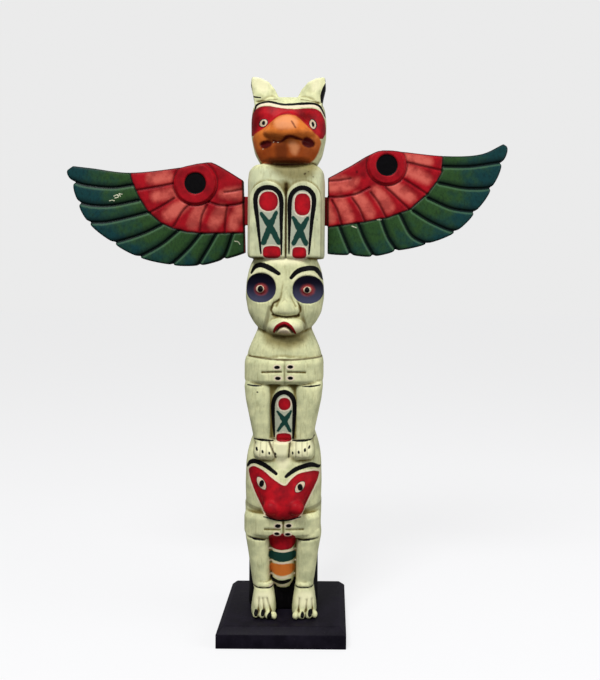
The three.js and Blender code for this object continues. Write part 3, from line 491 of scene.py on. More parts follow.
# the bear's red face
heart = [(-31.5, 126.7), (-28.5, 129.6), (-25, 130.6), (-17.5, 127.6), (-9, 121), (2.2, 114.2),
    (7.4, 120.8), (14, 125.6), (26, 126.8), (32, 124.2), (30.5, 118.2), (24, 105.7), (18.5, 94.7),
    (14.8, 87.2), (0, 85.2), (-14.5, 87.2), (-18.5, 95.7), (-24, 106.2), (-29.8, 119.7)]
bodyBlobs = [
    [(-18.8, 8.8), (-11, 10), (-3.6, 9), (-3, -1), (-19.2, -1)],
    [(7, 8.2), (13, 9.2), (19, 8.2), (19.4, -1), (6.6, -1)],
]
poleMarks = {
    "bearBase": {
        # painted highlights: lighter cream where light falls on the feet's tops and the forehead
        "sheen": [
            ("patch", [(-24, 22), (-7, 22), (-6, 10), (-25, 10)]),
            ("patch", [(12, 22), (27, 22), (29, 10), (10, 10)]),
            ("patch", [(-8, 140), (-3, 128), (3, 128), (8, 140)]),
        ],
        "red": [
            ("patch", heart),
            ("patch", [(-12.5, 73.2), (11.5, 73.2), (11.3, 62.2), (8, 57.7), (-1, 56.5), (-10, 57.7),
             (-12.3, 62.2)]),
        ],
        "teal": [("patch", [(-13, 55.5), (-1, 54.5), (12, 55.7), (11.5, 47.7), (-1, 45.8), (-12.5, 47.7)])],
        "orange": [
            ("patch", [(-12, 43.5), (-1, 45), (10.6, 43.8), (10.2, 35.2), (-1, 32.6), (-11.6, 35.2)]),
        ],
        "black": [
            ("line", (1.0, 2.0, 2.1, 1.9, 1.3), [(-32.5, 129), (-29.6, 133), (-24.8, 134.6), (-16, 131.8),
             (-5.8, 125)]),
            ("line", (1.4, 1.9, 2.1, 2.1, 1.1), [(2.8, 122.8), (8, 126.8), (14.5, 130), (24.6, 131.8),
             (31.8, 128.2)]),
            ("oval", -18.6, 116.4, 2.2, 3.1, -20), ("oval", 15.3, 113.9, 2.3, 3.0, 20),
            ("oval", -3.9, 80, 2.7, 1.7), ("oval", 5.4, 80.3, 2.5, 1.6), ("oval", -4.8, 73.1, 2.4, 1.4),
            ("oval", 4.7, 72.7, 2.5, 1.3),
            ("line", (0.3, 0.9, 0.5), [(-31, 69.2), (-24, 67.2), (-16.5, 66)]),
            ("line", (0.5, 0.8, 0.4), [(13.5, 66), (22, 66.6), (30.5, 68)]),
            ("patch", [(-11, 31), (-1.5, 28.8), (8, 30.8), (7, 27.2), (-1.5, 24.8), (-9.6, 27)]),
            ("oval", -22.2, 5.2, 1.8, 2.5), ("oval", -16.2, 5.4, 1.8, 2.4), ("oval", -10.4, 3.6, 2.1, 2.6),
            ("oval", 18.1, 4.4, 1.6, 2.2), ("oval", 24.8, 5.4, 2.0, 2.6),
            ("line", (0.4, 1.0, 0.4), [(-17, 87.5), (-0.5, 85), (16, 87.5)]),
            ("line", 0.55, [(-29, 24.8), (-9, 24.2)]), ("line", 0.55, [(11.5, 24.8), (29.5, 24.8)]),
        ],
        "pale": [
            ("rim", 0.55, 0.8, ("patch", heart)), ("line", 0.8, [(-12, 57.2), (-1, 55.5), (11, 56.8)]),
            ("line", 0.8, [(-12, 46.2), (-1, 44.8), (11, 46.2)]),
            ("line", 0.8, [(-11.5, 33.7), (-1, 31.4), (10, 33.7)]),
            ("line", 0.9, [(-11, 25.7), (-1.5, 23.8), (8.5, 25.7)]), ("oval", -3.9, 80, 3.9, 2.6),
            ("oval", 5.4, 80.3, 3.8, 2.5), ("oval", -4.8, 73.1, 3.6, 2.2), ("oval", 4.7, 72.7, 3.6, 2.1),
        ],
        "white": [("oval", -18.8, 116.6, 5.8, 3.3, -52, 1.8), ("oval", 15.1, 114.2, 5.3, 3.2, 48, 1.8)],
        "navy": [("oval", -18.8, 116.6, 6.3, 3.8, -52, 1.8), ("oval", 15.1, 114.2, 5.8, 3.7, 48, 1.8)],
    },
    "personBase": {
        # painted highlights below the brows, on the top of the head, the feet and the muzzle
        "sheen": [
            ("line", 1.3, [(-30, 159.4), (-26.5, 162.2), (-21, 163.4), (-14.5, 161.6), (-9, 158.6)]),
            ("line", 1.3, [(8.5, 155.5), (12, 158.2), (17, 160.3), (22, 160.9), (29, 158.8)]),
            ("patch", [(-20, 176), (-12, 169), (12, 169), (22, 176)]),
            ("patch", [(-27, 14), (-24, -1), (24, 0), (26, 14)]),
            ("patch", [(-12, 116), (0, 120), (13, 116), (14, 107), (-12, 107)]),
        ],
        "shadow": [("patch", [(-22, 110), (-16, 98), (-2, 94), (8, 94), (18, 99), (24, 110)])],
        "navy": [("oval", -21.1, 148, 13.9, 13.0, 0, 2.2), ("oval", 20.9, 146.6, 13.7, 12.4, 0, 2.2)],
        "pink": [("oval", -21.0, 146.6, 5.3, 4.6), ("oval", 20.2, 146.2, 5.4, 4.6)],
        "white": [("oval", -21.8, 147, 3.7, 3.4, 0, 1.9), ("oval", 20, 146.4, 3.5, 2.9, 0, 1.9)],
        "red": [
            ("line", (1.0, 1.6, 1.7, 1.6, 1.0), [(-8.9, 109.2), (-5.8, 114.2), (0.8, 117.3), (6.4, 114),
             (10, 108.6)]),
            ("oval", 0.8, 46.2, 5.4, 5.5, 0, 2.2),
            ("patch", [(-6.2, 19.6), (0.5, 20.8), (6.8, 19.6), (7.2, 12.6), (-6.6, 12.6)]),
        ],
        "teal": [
            ("line", (1.0, 2.2, 1.7, 1.3), [(-5.4, 39.4), (-1, 34), (2, 29.5), (6, 22)]),
            ("line", (1.0, 2.2, 1.7, 1.3), [(6.6, 39.8), (3, 34), (0, 29.5), (-4.8, 22.5)]),
            ("oval", 2.6, 110.8, 1.0, 0.9),
        ],
        "grey": [
            ("patch", [(-8, 16), (-8.8, 36), (-8.2, 47), (-4.4, 53.6), (0.5, 55.2), (5.8, 53), (8.6, 46),
             (8.4, 32), (7.6, 15)]),
        ],
        "maroon": [
            ("line", (0.6, 1.2, 1.5, 1.2, 0.6), [(-6.4, 110.6), (-3.6, 113.4), (0.8, 115), (4.6, 113.2),
             (7.6, 109.6)]),
        ],
        "pale": [
            ("rim", 0.5, 0.7, ("oval", 0.8, 46.2, 5.4, 5.5, 0, 2.2)),
            ("patch", [(-5.4, 108.8), (-3, 111.5), (0.8, 112.9), (4, 111), (6.4, 108.2), (3, 107.4),
             (-2, 107.4)]),
            ("rim", 0.5, 0.7, ("patch", [(-6.2, 19.6), (0.5, 20.8), (6.8, 19.6), (7.2, 12.6),
             (-6.6, 12.6)])),
            ("oval", -5.6, 78.6, 3.8, 2.5), ("oval", 6.1, 79, 3.8, 2.5), ("oval", -4.8, 69, 3.8, 2.5),
            ("oval", 6.1, 69.3, 3.8, 2.5),
        ],
        "umber": [
            ("line", (0.9, 0.6), [(-12.4, 12.8), (-6.4, -1)]),
            ("line", (0.9, 0.6), [(5.6, 12.8), (4.8, -1)]),
            ("line", (0.4, 0.8, 0.5), [(-32, 87.2), (0, 84.8), (33, 86.6)]),
            ("line", 0.5, [(-19, 74), (-2, 74.4)]), ("line", 0.5, [(3.5, 74.4), (19, 74)]),
            # painted shadow: a dark line under the nose
            ("line", (0.4, 0.8, 0.4), [(-9, 124.4), (1.6, 122.9), (12, 124)]),
            ("line", (0.3, 0.6, 0.4), [(-4.4, 137.5), (-9.6, 134.5), (-11.3, 128.7), (-9, 124.6)]),
            ("line", (0.3, 0.6, 0.4), [(11.4, 136.3), (13.7, 132.3), (14, 127.6), (12, 124.1)]),
        ],
        "black": [
            ("line", (1.2, 2.2, 2.3, 2.3, 1.6), [(-29.8, 161.5), (-26.5, 166.4), (-21, 168.2), (-13, 165.4),
             (-4.8, 160.4)]),
            ("line", (1.6, 2.3, 2.3, 2.2, 1.2), [(6, 157), (10.5, 161.8), (17, 164.8), (27, 165),
             (33.6, 156.6)]),
            ("oval", -21.4, 147, 2.6, 2.9), ("oval", 19.8, 146.4, 2.3, 2.5),
            ("line", (0.4, 1.0, 0.5), [(-28.5, 14.6), (-18, 14.2), (-9, 13.4)]),
            ("line", (0.5, 1.0, 0.4), [(8, 13.4), (18, 14), (27, 14.6)]), ("oval", -5.7, 78.6, 2.7, 1.6),
            ("oval", 6, 79, 2.6, 1.6), ("oval", -4.9, 69, 2.6, 1.6), ("oval", 6, 69.3, 2.6, 1.5),
            ("line", (0.9, 1.5, 1.8, 2.0, 2.1, 2.0, 1.8, 1.5, 0.9), [(-8.2, 17), (-9.4, 36.5), (-9.1, 47),
             (-5.8, 53.8), (0.5, 56.6), (6.4, 53.6), (9.5, 46), (9.3, 32.5), (8.4, 15.5)]),
            ("oval", -23.2, 6.8, 1.1, 1.7, 25), ("oval", -17.7, 4.8, 1.0, 1.6, 15),
            ("oval", -12, 3.6, 0.9, 1.4, 10), ("oval", -6.8, 2.6, 0.9, 1.4, 25),
            ("oval", 8.4, 3.4, 0.9, 1.4), ("oval", 13.8, 4.5, 1.0, 1.5), ("oval", 19.2, 6.4, 1.1, 1.7),
            ("oval", 22.8, 8.6, 0.9, 1.6, -20), ("oval", -23, 56.6, 1.0, 0.8),
            # painted shadow: dark lines under the arms
            ("line", (0.5, 0.8, 0.3), [(-32, 62.6), (-25, 62), (-18, 62)]),
            ("line", (0.3, 0.8, 0.5), [(16, 61.6), (24, 61.8), (32, 62.6)]),
        ],
    },
    "birdBase": {
        "shadow": [
            ("patch", [(-14, 86), (-14, 78), (-4, 70), (6, 66), (16, 66), (24, 70), (28, 78), (28, 86)]),
            ("oval", 0, 64, 5, 5),
        ],
        "grey": [
            ("patch", [(-19.6, -2), (-22.8, 30), (-25, 50), (-21.6, 57.4), (-15.6, 60), (-8.6, 57.6),
             (-4.4, 50), (-4.2, 30), (-3.6, -2)]),
            ("patch", [(5, -2), (5.4, 50), (9.4, 57), (15.6, 59.6), (21.6, 57), (25, 50.4), (23, 30),
             (20.8, -2)]),
        ],
        "red": [
            ("oval", -14.3, 48.8, 8.4, 8.7, 0, 2.2), ("oval", 15.5, 46.2, 7.1, 9.7, 0, 2.6),
            ("patch", bodyBlobs[0]), ("patch", bodyBlobs[1]),
        ],
        "teal": [
            ("line", (1.6, 2.8, 2.7, 2.2), [(-20.6, 38), (-16, 31.5), (-10.5, 23), (-5, 12.5)]),
            ("line", (1.6, 2.6, 2.7, 2.4), [(-7.4, 39), (-11, 31), (-14.5, 22.5), (-18.4, 12.5)]),
            ("line", (1.6, 2.7, 2.6, 2.1), [(7.6, 34.6), (11.5, 27.5), (15, 20), (18.8, 11.8)]),
            ("line", (1.7, 2.6, 2.6, 2.1), [(20, 34.2), (16.5, 28), (12, 20), (8, 12)]),
        ],
        "pale": [
            ("rim", 0.45, 0.5, ("oval", -14.3, 48.8, 8.4, 8.7, 0, 2.2)),
            ("rim", 0.45, 0.5, ("oval", 15.5, 46.2, 7.1, 9.7, 0, 2.6)),
            ("rim", 0.5, 0.7, ("patch", bodyBlobs[0])), ("rim", 0.5, 0.7, ("patch", bodyBlobs[1])),
        ],
        "umber": [
            ("line", (1.2, 0.9, 0.8), [(1, 64), (1, 40), (1, 0)]), ("oval", 17.4, 73.6, 1.3, 0.9, 30),
            ("oval", 20.4, 75.4, 0.7, 0.6), ("oval", 24.6, 71, 0.8, 0.6), ("oval", 28.4, 33, 0.5, 0.8),
        ],
        "black": [
            ("line", (0.8, 1.3, 1.8, 2.1, 2.2, 2.1, 1.7, 1.2, 0.7), [(-20.6, 3), (-23.6, 30.5), (-25.8, 50),
             (-22.7, 58.2), (-15.3, 61), (-7.4, 58.6), (-3.2, 50.5), (-3, 31), (-2.6, 2)]),
            ("line", (0.7, 1.2, 1.7, 2.1, 2.2, 2.1, 1.8, 1.3, 0.8), [(3.9, 3), (4.2, 31), (4.6, 50.5),
             (8.4, 58), (15.3, 60.8), (22, 58.2), (25.6, 50.5), (23.7, 31), (21.4, 2.5)]),
        ],
    },
    "headBase": {
        # painted highlights on the ears
        "sheen": [
            ("patch", [(-30, 82), (-20, 82), (-14, 68), (-20, 64), (-29, 68)]),
            ("patch", [(22, 80), (30, 80), (30, 68), (22, 66)]),
        ],
        "shadow": [
            ("patch", [(-36, 52), (-25, 50), (-22, 42), (-24, 30), (-36, 26)]), ("oval", 17, 42, 6, 5),
        ],
        "red": [
            ("patch", [(-31, 47), (-28, 49.6), (-21.5, 51.6), (-14.5, 51.2), (-8.5, 49.8), (0, 48.5),
             (8.5, 48), (16.5, 49.2), (26, 50), (31, 48), (34.5, 42), (35.5, 34.5), (35, 29), (31.5, 22),
             (0, 30), (-31, 24.6), (-32.5, 34)]),
        ],
        "orange": [
            ("patch", [(-30.5, 26), (-29.5, 18), (-26.5, 10.5), (-22.5, 3), (-20, 0.6), (20, 0.6),
             (25.5, 5), (29.5, 12.5), (32, 23), (21, 30.4), (14, 37.2), (9.5, 41), (2, 42), (-5.5, 41),
             (-9, 38.4), (-14.5, 34), (-21.5, 29.8)]),
        ],
        # painted shade under the beak's tip and along the chin
        "brown": [
            ("patch", [(-9, 17), (-3, 16.6), (1, 18), (3, 10), (2, 3), (-8, 2.6)]),
            ("line", (1.4, 2.4, 1.4), [(-19, 3), (0, 1.4), (20, 3)]),
        ],
        # painted highlights on the lower beak and the ridge of the upper beak
        "peach": [
            ("patch", [(3, 18), (8, 19), (13, 14), (10, 7), (6, 8)]),
            ("patch", [(-10, 37), (2, 42), (12, 37), (10, 28), (-8, 28)]),
        ],
        "maroon": [
            ("oval", -17.2, 17, 6, 3.6), ("oval", 20, 18.4, 5.6, 4.4),
            ("line", (0.8, 0.6), [(-12, 18), (-5, 17.6)]),
            ("line", (0.9, 1.1, 1.1, 0.9), [(-10.5, 19.4), (-4.5, 18), (1.5, 21.4), (5.5, 22), (10, 21.2),
             (16, 20)]),
            ("line", 0.5, [(6, 35), (9.5, 29)]),
            # painted shadow: a dark line along the bottom of the chin
            ("line", (0.4, 0.9, 0.4), [(-18, 0.8), (0, -0.4), (19, 0.8)]),
            ("line", (0.6, 0.8), [(12, 21), (18, 20)]),
        ],
        "black": [
            ("patch", [(36.8, 78.5), (30, 65), (30.6, 55), (33.4, 58), (36.2, 72)]),
            ("line", (0.3, 0.6, 0.7, 0.6), [(-31.8, 76), (-31.3, 69), (-30.4, 62), (-23, 60.4)]),
            ("line", (0.9, 1.3, 1.1, 1.1, 1.3, 1.3, 0.8), [(-28.5, 49), (-26, 53.8), (-20.5, 55.5),
             (-14.5, 55.5), (-7.5, 53.5), (-3, 52.5), (4.5, 52.5), (14, 53.5), (26, 54.5), (31, 51.5),
             (34.5, 45.5)]),
            ("oval", -19.4, 36, 1.6, 2.1), ("oval", 24.1, 35.2, 1.25, 2.5, 12),
        ],
        "pale": [
            ("line", (0.8, 1.3, 1.2, 1.1, 1.2, 1.3, 0.8), [(-29.5, 49), (-25, 52), (-20, 53.4), (-14, 53),
             (-4, 50.4), (6, 50.2), (16, 51.3), (26, 52.2), (31, 49.6), (34.6, 44.4)]),
        ],
        "white": [
            # eye whites, then three small specks on the beak that are partly chips in the paint and partly
            # painted glints
            ("oval", -19.5, 36, 3.7, 3.1, 25, 1.8), ("oval", 23.9, 35.4, 2.8, 4.1, 12, 1.8),
            ("oval", -20, 13.2, 0.6, 0.5), ("oval", -10, 18, 0.8, 0.5, 30),
            ("oval", -6.2, 17.6, 0.8, 0.5, -20),
        ],
        "navy": [("oval", -19.6, 36, 4.5, 3.9, 25, 1.8), ("oval", 24.1, 35.4, 3.6, 4.8, 12, 1.8)],
    },
}


def paintPole(piece):
    points, normals = pointsOf(piece), normalsOf(piece)
    facing = np.clip((0.45 - normals[:, 1]) * 8, -6, 6)
    ahead = np.minimum(facing, 8 - points[:, 1])
    names = sorted({name for marks in poleMarks.values() for name in marks})
    fields = {name: np.full(len(points), -6.0) for name in names}
    carved = np.full(len(points), -6.0)  # the antique wash lies in every carved line
    figures = ["bearBase", "personBase", "birdBase", "headBase"]
    limits = [0, poleForm["personBase"], poleForm["birdBase"], poleForm["headBase"], 1000]
    for i, figure in enumerate(figures):
        x, z = points[:, 0] - poleForm["middleX"], points[:, 2] - poleForm[figure]
        near = (points[:, 2] >= limits[i] - 3) & (points[:, 2] < limits[i + 1] + 3)
        for name, marks in poleMarks[figure].items():
            value = np.minimum(fieldOf(marks, x[near], z[near]), ahead[near])
            fields[name][near] = np.maximum(fields[name][near], value)
        for width, depth, line in cuts[figure]:
            low, high = min(p[1] for p in line) - 3, max(p[1] for p in line) + 3
            near = (z > low) & (z < high) & (points[:, 1] < 2)
            away, _, _ = lineDistance(line, x[near], z[near])
            carved[near] = np.maximum(carved[near], np.minimum(width * 0.75 - away, ahead[near]))
    height = points[:, 2] - poleForm["bearBase"]
    core = np.minimum(points[:, 1] + 19.5, 44 - height)  # the block behind and between the bear's legs
    sole = 1.0 - height
    earZ = points[:, 2] - poleForm["headBase"] - poleForm["headHeight"]
    outward = normals[:, 0] * np.sign(points[:, 0] - poleForm["middleX"] - poleForm["headOffset"])
    earSide = np.minimum(np.minimum((outward - 0.55) * 6, earZ + 2.5), points[:, 1] + 19)
    behind = points[:, 1] - poleForm["blackFrom"]
    for extra in (core, sole, earSide, behind):
        fields["black"] = np.maximum(fields["black"], extra)
    storeField(piece, "carved", carved)
    for name, value in fields.items():
        storeField(piece, name, value)
    storeField(piece, "hollow", hollowOf(piece, 12))
    storeField(piece, "deepHollow", hollowOf(piece, 60))


wingForm = {  # both wings' shared sizes, millimetres
    "middleY": -1.5,
    "tenonZ": 375,
    "thickness": 10,
    "tipThinning": 0.35,
    "relief": 1.7,
    "ringHeight": 1.9,
    "discRadius": 9.6,
    "voxel": 0.6,
    "swell": 3.2,
    "notch": 1.7,  # how far each feather's end is notched below its groove
    "featherCut": 2.2,  # the depths of the grooves
    "redCut": 1.4,
    "seamCut": 1.0,
    "slitCut": 1.1,
    "edgeRound": 1.3,
    "tenon": {"inLog": 13, "tall": 26, "thick": 6.4, "clearance": 0.3},
}

leftWing = {  # points are [outwards, upwards] from the tenon's middle at the wing's root, millimetres
    "length": 161,
    "gap": 3.6,
    "ring": (43.9, 24.2),
    "ringRadius": 19.3,
    "topEdge": [(1, 27.5), (23, 40.6), (34, 43.6), (62, 38.2), (104, 33.8), (138, 37.6), (156, 39.6)],
    "tip": (161, 36),
    "notches": [(155, 25.5), (150.3, 6.5), (141.2, -11.6), (118, -30), (95.5, -42.6), (65.3, -49.6),
        (40.5, -49.8), (18.8, -44)],
    "rootBottom": (-1.2, -38),
    "colourLine": [(104.4, 36), (101, 24), (95.3, 11.5), (87, -1.5), (75.5, -11.6), (64, -16.8),
        (52, -19.8), (36, -21.2), (16, -20.8), (-3, -20.4)],
    "grooves": [
        [(155.5, 25.8), (143.3, 22.3), (120.2, 20.2), (101, 22.8)],
        [(150.6, 6.6), (137.4, 3.9), (120, 4), (96, 8.8)],
        [(141.4, -11.4), (125.7, -11.1), (108.4, -7.5), (87.8, -2.1)],
        [(118.4, -29.8), (108.3, -27.1), (91, -21.2), (75, -13.4)],
        [(95.6, -42.4), (87.4, -38.6), (73.6, -30.4), (59.4, -18.5)],
        [(65.5, -49.3), (50.4, -34.8), (39, -20.9)], [(41, -49), (33.1, -35.9), (25, -21.6)],
        [(19.2, -44), (15.7, -38.1), (10, -21)],
    ],
    "redGrooves": [
        [(63.5, 24), (80, 20.6), (97.5, 17.6)], [(63.4, 10.4), (75, 3), (85.6, -2.7)],
        [(49.7, 4.6), (56, -2), (63.5, -15)], [(33.3, 4.6), (38, -6), (39.6, -19)],
        [(14.8, 3.6), (16.4, -8), (17, -20)], [(33, 8), (24, 4.8), (16, 4.1), (6, 5.2), (-1.5, 7.7)],
    ],
    "salmon": [
        ("line", (5.2, 5.8, 5.0), [(83, 28.6), (76, 29.6), (69.5, 30.2)]),
        ("line", (4.6, 4.8), [(79.6, 12.4), (64.6, 15)]),
        ("line", (5.4, 6.0, 4.6), [(68, -4.6), (60, 1.2), (53.5, 4.4)]),
        ("line", (4.6, 5.6, 5.2), [(46, -13), (42.6, -6), (39.6, 0)]),
        ("line", (4.6, 5.6, 5.0), [(27, -13), (23, -6), (19.6, 0.4)]),
        ("line", (4.4, 5.2, 4.6), [(9.6, -14), (6.4, -6), (3.6, 0.4)]),
        ("patch", [(-1, 21.8), (8, 20.6), (16, 19.6), (22.5, 15.6), (21, 11.4), (11.6, 10), (-1, 10)]),
    ],
    "slit": [(17.4, 16.2), (8, 17.4), (-1, 19.6)],
    "chips": [
        ("line", 0.42, [(118, 12.4), (115, 13.4), (114, 11.4), (117, 10.6)]),
        ("line", 0.38, [(122, 8), (119.4, 8.6), (117.4, 8)]),
        ("line", 0.38, [(110.6, 14), (113.2, 14.4), (112, 12)]),
        ("line", 0.36, [(8, -28), (4.6, -28.6), (3, -31)]),
    ],
    "nicks": [],
}
rightWing = {
    "length": 162.6,
    "gap": 2.2,
    "ring": (53.4, 41.8),
    "ringRadius": 17.6,
    "topEdge": [(0, 30), (20, 41), (40, 52.6), (56, 55.4), (104, 51), (138, 52.6), (159.5, 62.3)],
    "tip": (162.6, 60.4),
    "notches": [(157.8, 45), (148.4, 22), (133.5, 0), (116.4, -17.8), (91, -28.4), (62, -35.2),
        (41.4, -40.6), (21.2, -39.2)],
    "rootBottom": (0, -38.7),
    "colourLine": [(104.6, 54), (103.4, 36), (99, 27.5), (90.6, 16.4), (74.6, 2), (55.4, -5.4),
        (33.6, -9.8), (13, -12.8), (-3, -15.2)],
    "grooves": [
        [(157.6, 46), (128.7, 41.7), (104.4, 41.5)],
        [(148.5, 23), (139, 21.8), (122.8, 22.2), (101.2, 26.3)],
        [(133.6, 1), (125, 1.4), (110.8, 3.9), (91.3, 12.5)],
        [(117, -17.4), (108.5, -15.5), (92.6, -8.3), (78, 0.6)],
        [(91.4, -28.4), (86.7, -27.4), (75.7, -20.6), (66, -2.8)],
        [(62.6, -34.4), (55.1, -23.2), (49, -7.6)], [(42, -40), (34.5, -26.9), (28, -11.6)],
        [(21.4, -38.8), (16.3, -27.1), (11, -14)],
    ],
    "redGrooves": [
        [(70.4, 44.9), (88, 41), (103.6, 37.6)], [(69.3, 29.1), (80, 22.6), (90.4, 15.8)],
        [(52.4, 21.7), (63, 12.4), (73.6, 2.2)], [(39.1, 16.8), (46, 8), (53, -5.4)],
        [(22.1, 11.8), (29, 2), (33.6, -9.2)], [(3.9, 9.3), (9, 0), (12.8, -13)],
        [(-1, 12.6), (10, 12.6), (25.7, 15.5), (37.8, 21.6)],
    ],
    "salmon": [
        ("line", (4.0, 4.8, 3.8), [(71, 48.6), (80, 47.6), (91, 45.4)]),
        ("line", (4.4, 5.2, 4.4), [(71.6, 37.4), (80, 34.4), (89.6, 29.4)]),
        ("line", (4.6, 5.4, 4.6), [(58.6, 23), (66, 18.4), (75, 12.6)]),
        ("line", (4.6, 5.4, 4.6), [(43.6, 18.2), (49, 12), (55.4, 3.4)]),
        ("line", (4.6, 5.4, 4.6), [(27.6, 13), (32.6, 6), (38, -2.4)]),
        ("line", (4.6, 5.4, 4.6), [(11, 9.2), (14.4, 2), (19, -6.4)]),
        ("line", (3.6, 4.2), [(-2, 7), (3.4, -6.6)]),
        ("patch", [(-1, 31.4), (12, 32.4), (23, 29.4), (28.6, 30.6), (26.4, 23.4), (19, 18.4), (-1, 16.6)]),
    ],
    "slit": [(20.4, 29.4), (10, 27.6), (-1, 26.8)],
    "chips": [("line", 0.45, [(22, -13.6), (26, -15)]), ("line", 0.4, [(45, -7.6), (49, -7.2)])],
    "nicks": [("oval", 26.1, 35.5, 1.2, 1.5)],
}


def wingOutline(shape):
    tips = [np.array(p, float) for p in [shape["tip"], *shape["notches"], shape["rootBottom"]]]
    outline = [tuple(p) for p in spline(shape["topEdge"], 40)]
    for i in range(len(tips) - 1):
        start, end = tips[i], tips[i + 1]
        run = end - start
        swell = np.array([-run[1], run[0]]) / np.hypot(*run) * wingForm["swell"] * (1 - 0.09 * i)
        early, late = start + run * 0.12 + swell, start + run * 0.7 + swell * 0.9
        for t in np.linspace(0, 1, 9)[:-1]:
            s = 1 - t
            bend = s ** 3 * start + 3 * t * s * s * early + 3 * t * t * s * late + t ** 3 * end
            outline.append(tuple(bend))
    outline.append(tuple(tips[-1]))
    return outline


def wingCarving(shape, u, v, edge):  # how far the face stands out, and the fields that its paint follows
    relief, disc, radius = wingForm["relief"], wingForm["discRadius"], shape["ringRadius"]
    blank = np.full(len(u), -6.0)
    height = np.full(len(u), relief)
    feather = -patchDistance(shape["colourLine"] + [(-6, 70), (104, 70)], u, v)  # above 0 on the feathers
    red = feather < 0
    fade = np.clip(1 + feather / 1.5, 0, 1)
    fields = {"groove": blank, "rimLight": blank, "shade": blank}
    for groove in shape["grooves"]:
        away, _, turn = lineDistance(spline(groove, 24), u, v)
        below = turn < 0
        cut = np.where(below, np.exp(-away / 2.4), np.exp(-(away / 0.9) ** 2))
        height -= wingForm["featherCut"] * cut * fade
        lines = {
            "groove": np.where(feather > -0.6, np.where(below, 1.5, 1.2) - away, -6),
            "rimLight": np.where(below & (feather > 0.4), 0.8 - np.abs(away - 2.3), -6),
            "shade": np.where(~below & (feather > 0.2), 3.8 - away, -6),
        }
        for name, value in lines.items():
            fields[name] = np.maximum(fields[name], value)
    redGroove = blank
    for groove in shape["redGrooves"]:
        away, _, _ = lineDistance(spline(groove, 24), u, v)
        height -= wingForm["redCut"] * np.exp(-(away / 1.1) ** 2)
        redGroove = np.maximum(redGroove, 0.9 - away)
    away, _, _ = lineDistance(shape["colourLine"], u, v)
    height -= wingForm["seamCut"] * np.exp(-(away / 0.9) ** 2)
    fields["groove"] = np.maximum(fields["groove"], np.where(np.abs(feather) < 6, 0.7 - away, -6))
    away, _, _ = lineDistance(shape["slit"], u, v)
    height -= wingForm["slitCut"] * np.exp(-(away / 1.1) ** 2)
    redGroove = np.maximum(np.maximum(redGroove, 0.55 - away), fieldOf(shape["nicks"], u, v))
    ringAway = np.hypot(u - shape["ring"][0], v - shape["ring"][1])
    inRing = ringAway < radius + 0.5
    band = np.clip((radius - ringAway) / 1.5, 0, 1) * np.clip((ringAway - disc + 0.4) / 1.2, 0, 1)
    ringTop = relief + wingForm["ringHeight"] * (0.55 + 0.45 * band) - 0.0016 * (ringAway - 14) ** 2
    ringFace = np.where(ringAway < disc, relief + 0.4, ringTop * band + (1 - band) * relief)
    height = np.where(inRing, ringFace, height)
    height -= 0.9 * np.exp(-((ringAway - radius - 1.1) / 0.9) ** 2)
    height -= wingForm["edgeRound"] * np.exp(-(edge / 1.1))
    redGroove = np.maximum(redGroove, 0.75 - np.abs(ringAway - radius - 0.7))
    fields["redGroove"] = np.where(red & (ringAway >= radius), redGroove, -6)
    fields["feather"] = feather
    fields["spread"] = feather / 9  # how far along the feather, from the red outwards
    fields["edgeLine"] = 1.1 - edge
    fields["salmon"] = np.where(red & ~inRing, fieldOf(shape["salmon"], u, v), -6)
    fields["disc"] = disc + 0.2 - ringAway
    fields["chip"] = fieldOf(shape["chips"], u, v)
    fields["joint"] = -0.6 - u
    return height, fields


def buildWing(name, side, shape):
    middleY, thick = wingForm["middleY"], wingForm["thickness"]
    root = poleForm["middleX"] + side * (poleForm["halfWidth"] + shape["gap"])
    outline = wingOutline(shape)
    placed = [(root + side * u, wingForm["tenonZ"] + v) for u, v in outline]
    board = slab(placed, middleY - thick / 2, middleY + thick / 2)
    inner = root - side * (shape["gap"] + wingForm["tenon"]["inLog"] - 0.2)
    wing = joinAll([board, tenonBox((inner, root + side * 6), -0.1)], name)
    applyModifier(wing, "REMESH", mode="VOXEL", voxel_size=wingForm["voxel"] / 1000)
    applyModifier(wing, "SMOOTH", factor=0.5, iterations=1)
    points = pointsOf(wing)
    u, v = side * (points[:, 0] - root), points[:, 2] - wingForm["tenonZ"]
    for (endU, endV), (inU, inV), *_ in shape["grooves"]:  # each groove runs out into a notch in the edge
        reach = math.hypot(inU - endU, inV - endV)
        pull = wingForm["notch"] * np.exp(-(np.hypot(u - endU, v - endV) / 1.9) ** 2)
        points[:, 0] += side * pull * (inU - endU) / reach
        points[:, 2] += pull * (inV - endV) / reach
    height, fields = wingCarving(shape, u, v, np.abs(patchDistance(outline, u, v)))
    front = np.clip((middleY - points[:, 1]) / (thick / 2), 0, 1) ** 2
    points[:, 1] -= np.where(u > -0.5, height * front, 0)
    thin = 1 - wingForm["tipThinning"] * np.clip(u / shape["length"], 0, 1) ** 1.3
    points[:, 1] = middleY + (points[:, 1] - middleY) * thin
    movePoints(wing, points)
    facing = np.clip((-normalsOf(wing)[:, 1] - 0.15) * 6, -6, 6)
    faceDepth = middleY - thick / 2 * thin + 1.2
    fields["ahead"] = np.minimum(facing, (faceDepth - points[:, 1]) * 1.5)
    for field, value in fields.items():
        storeField(wing, field, value)
    return wing


print("stage: building the pole")
pole = buildPole()
paintPole(pole)
print("stage: pole", len(pole.data.polygons), "faces")
leftPiece = buildWing("paintedWingLeft", -1, leftWing)
rightPiece = buildWing("paintedWingRight", 1, rightWing)
print("stage: wings", len(leftPiece.data.polygons), len(rightPiece.data.polygons), "faces")

plinthForm = {"width": 110.5, "depth": 115, "height": 17.3, "bevelWidth": 5.5, "bevelDrop": 5.3, "edge": 0.7}


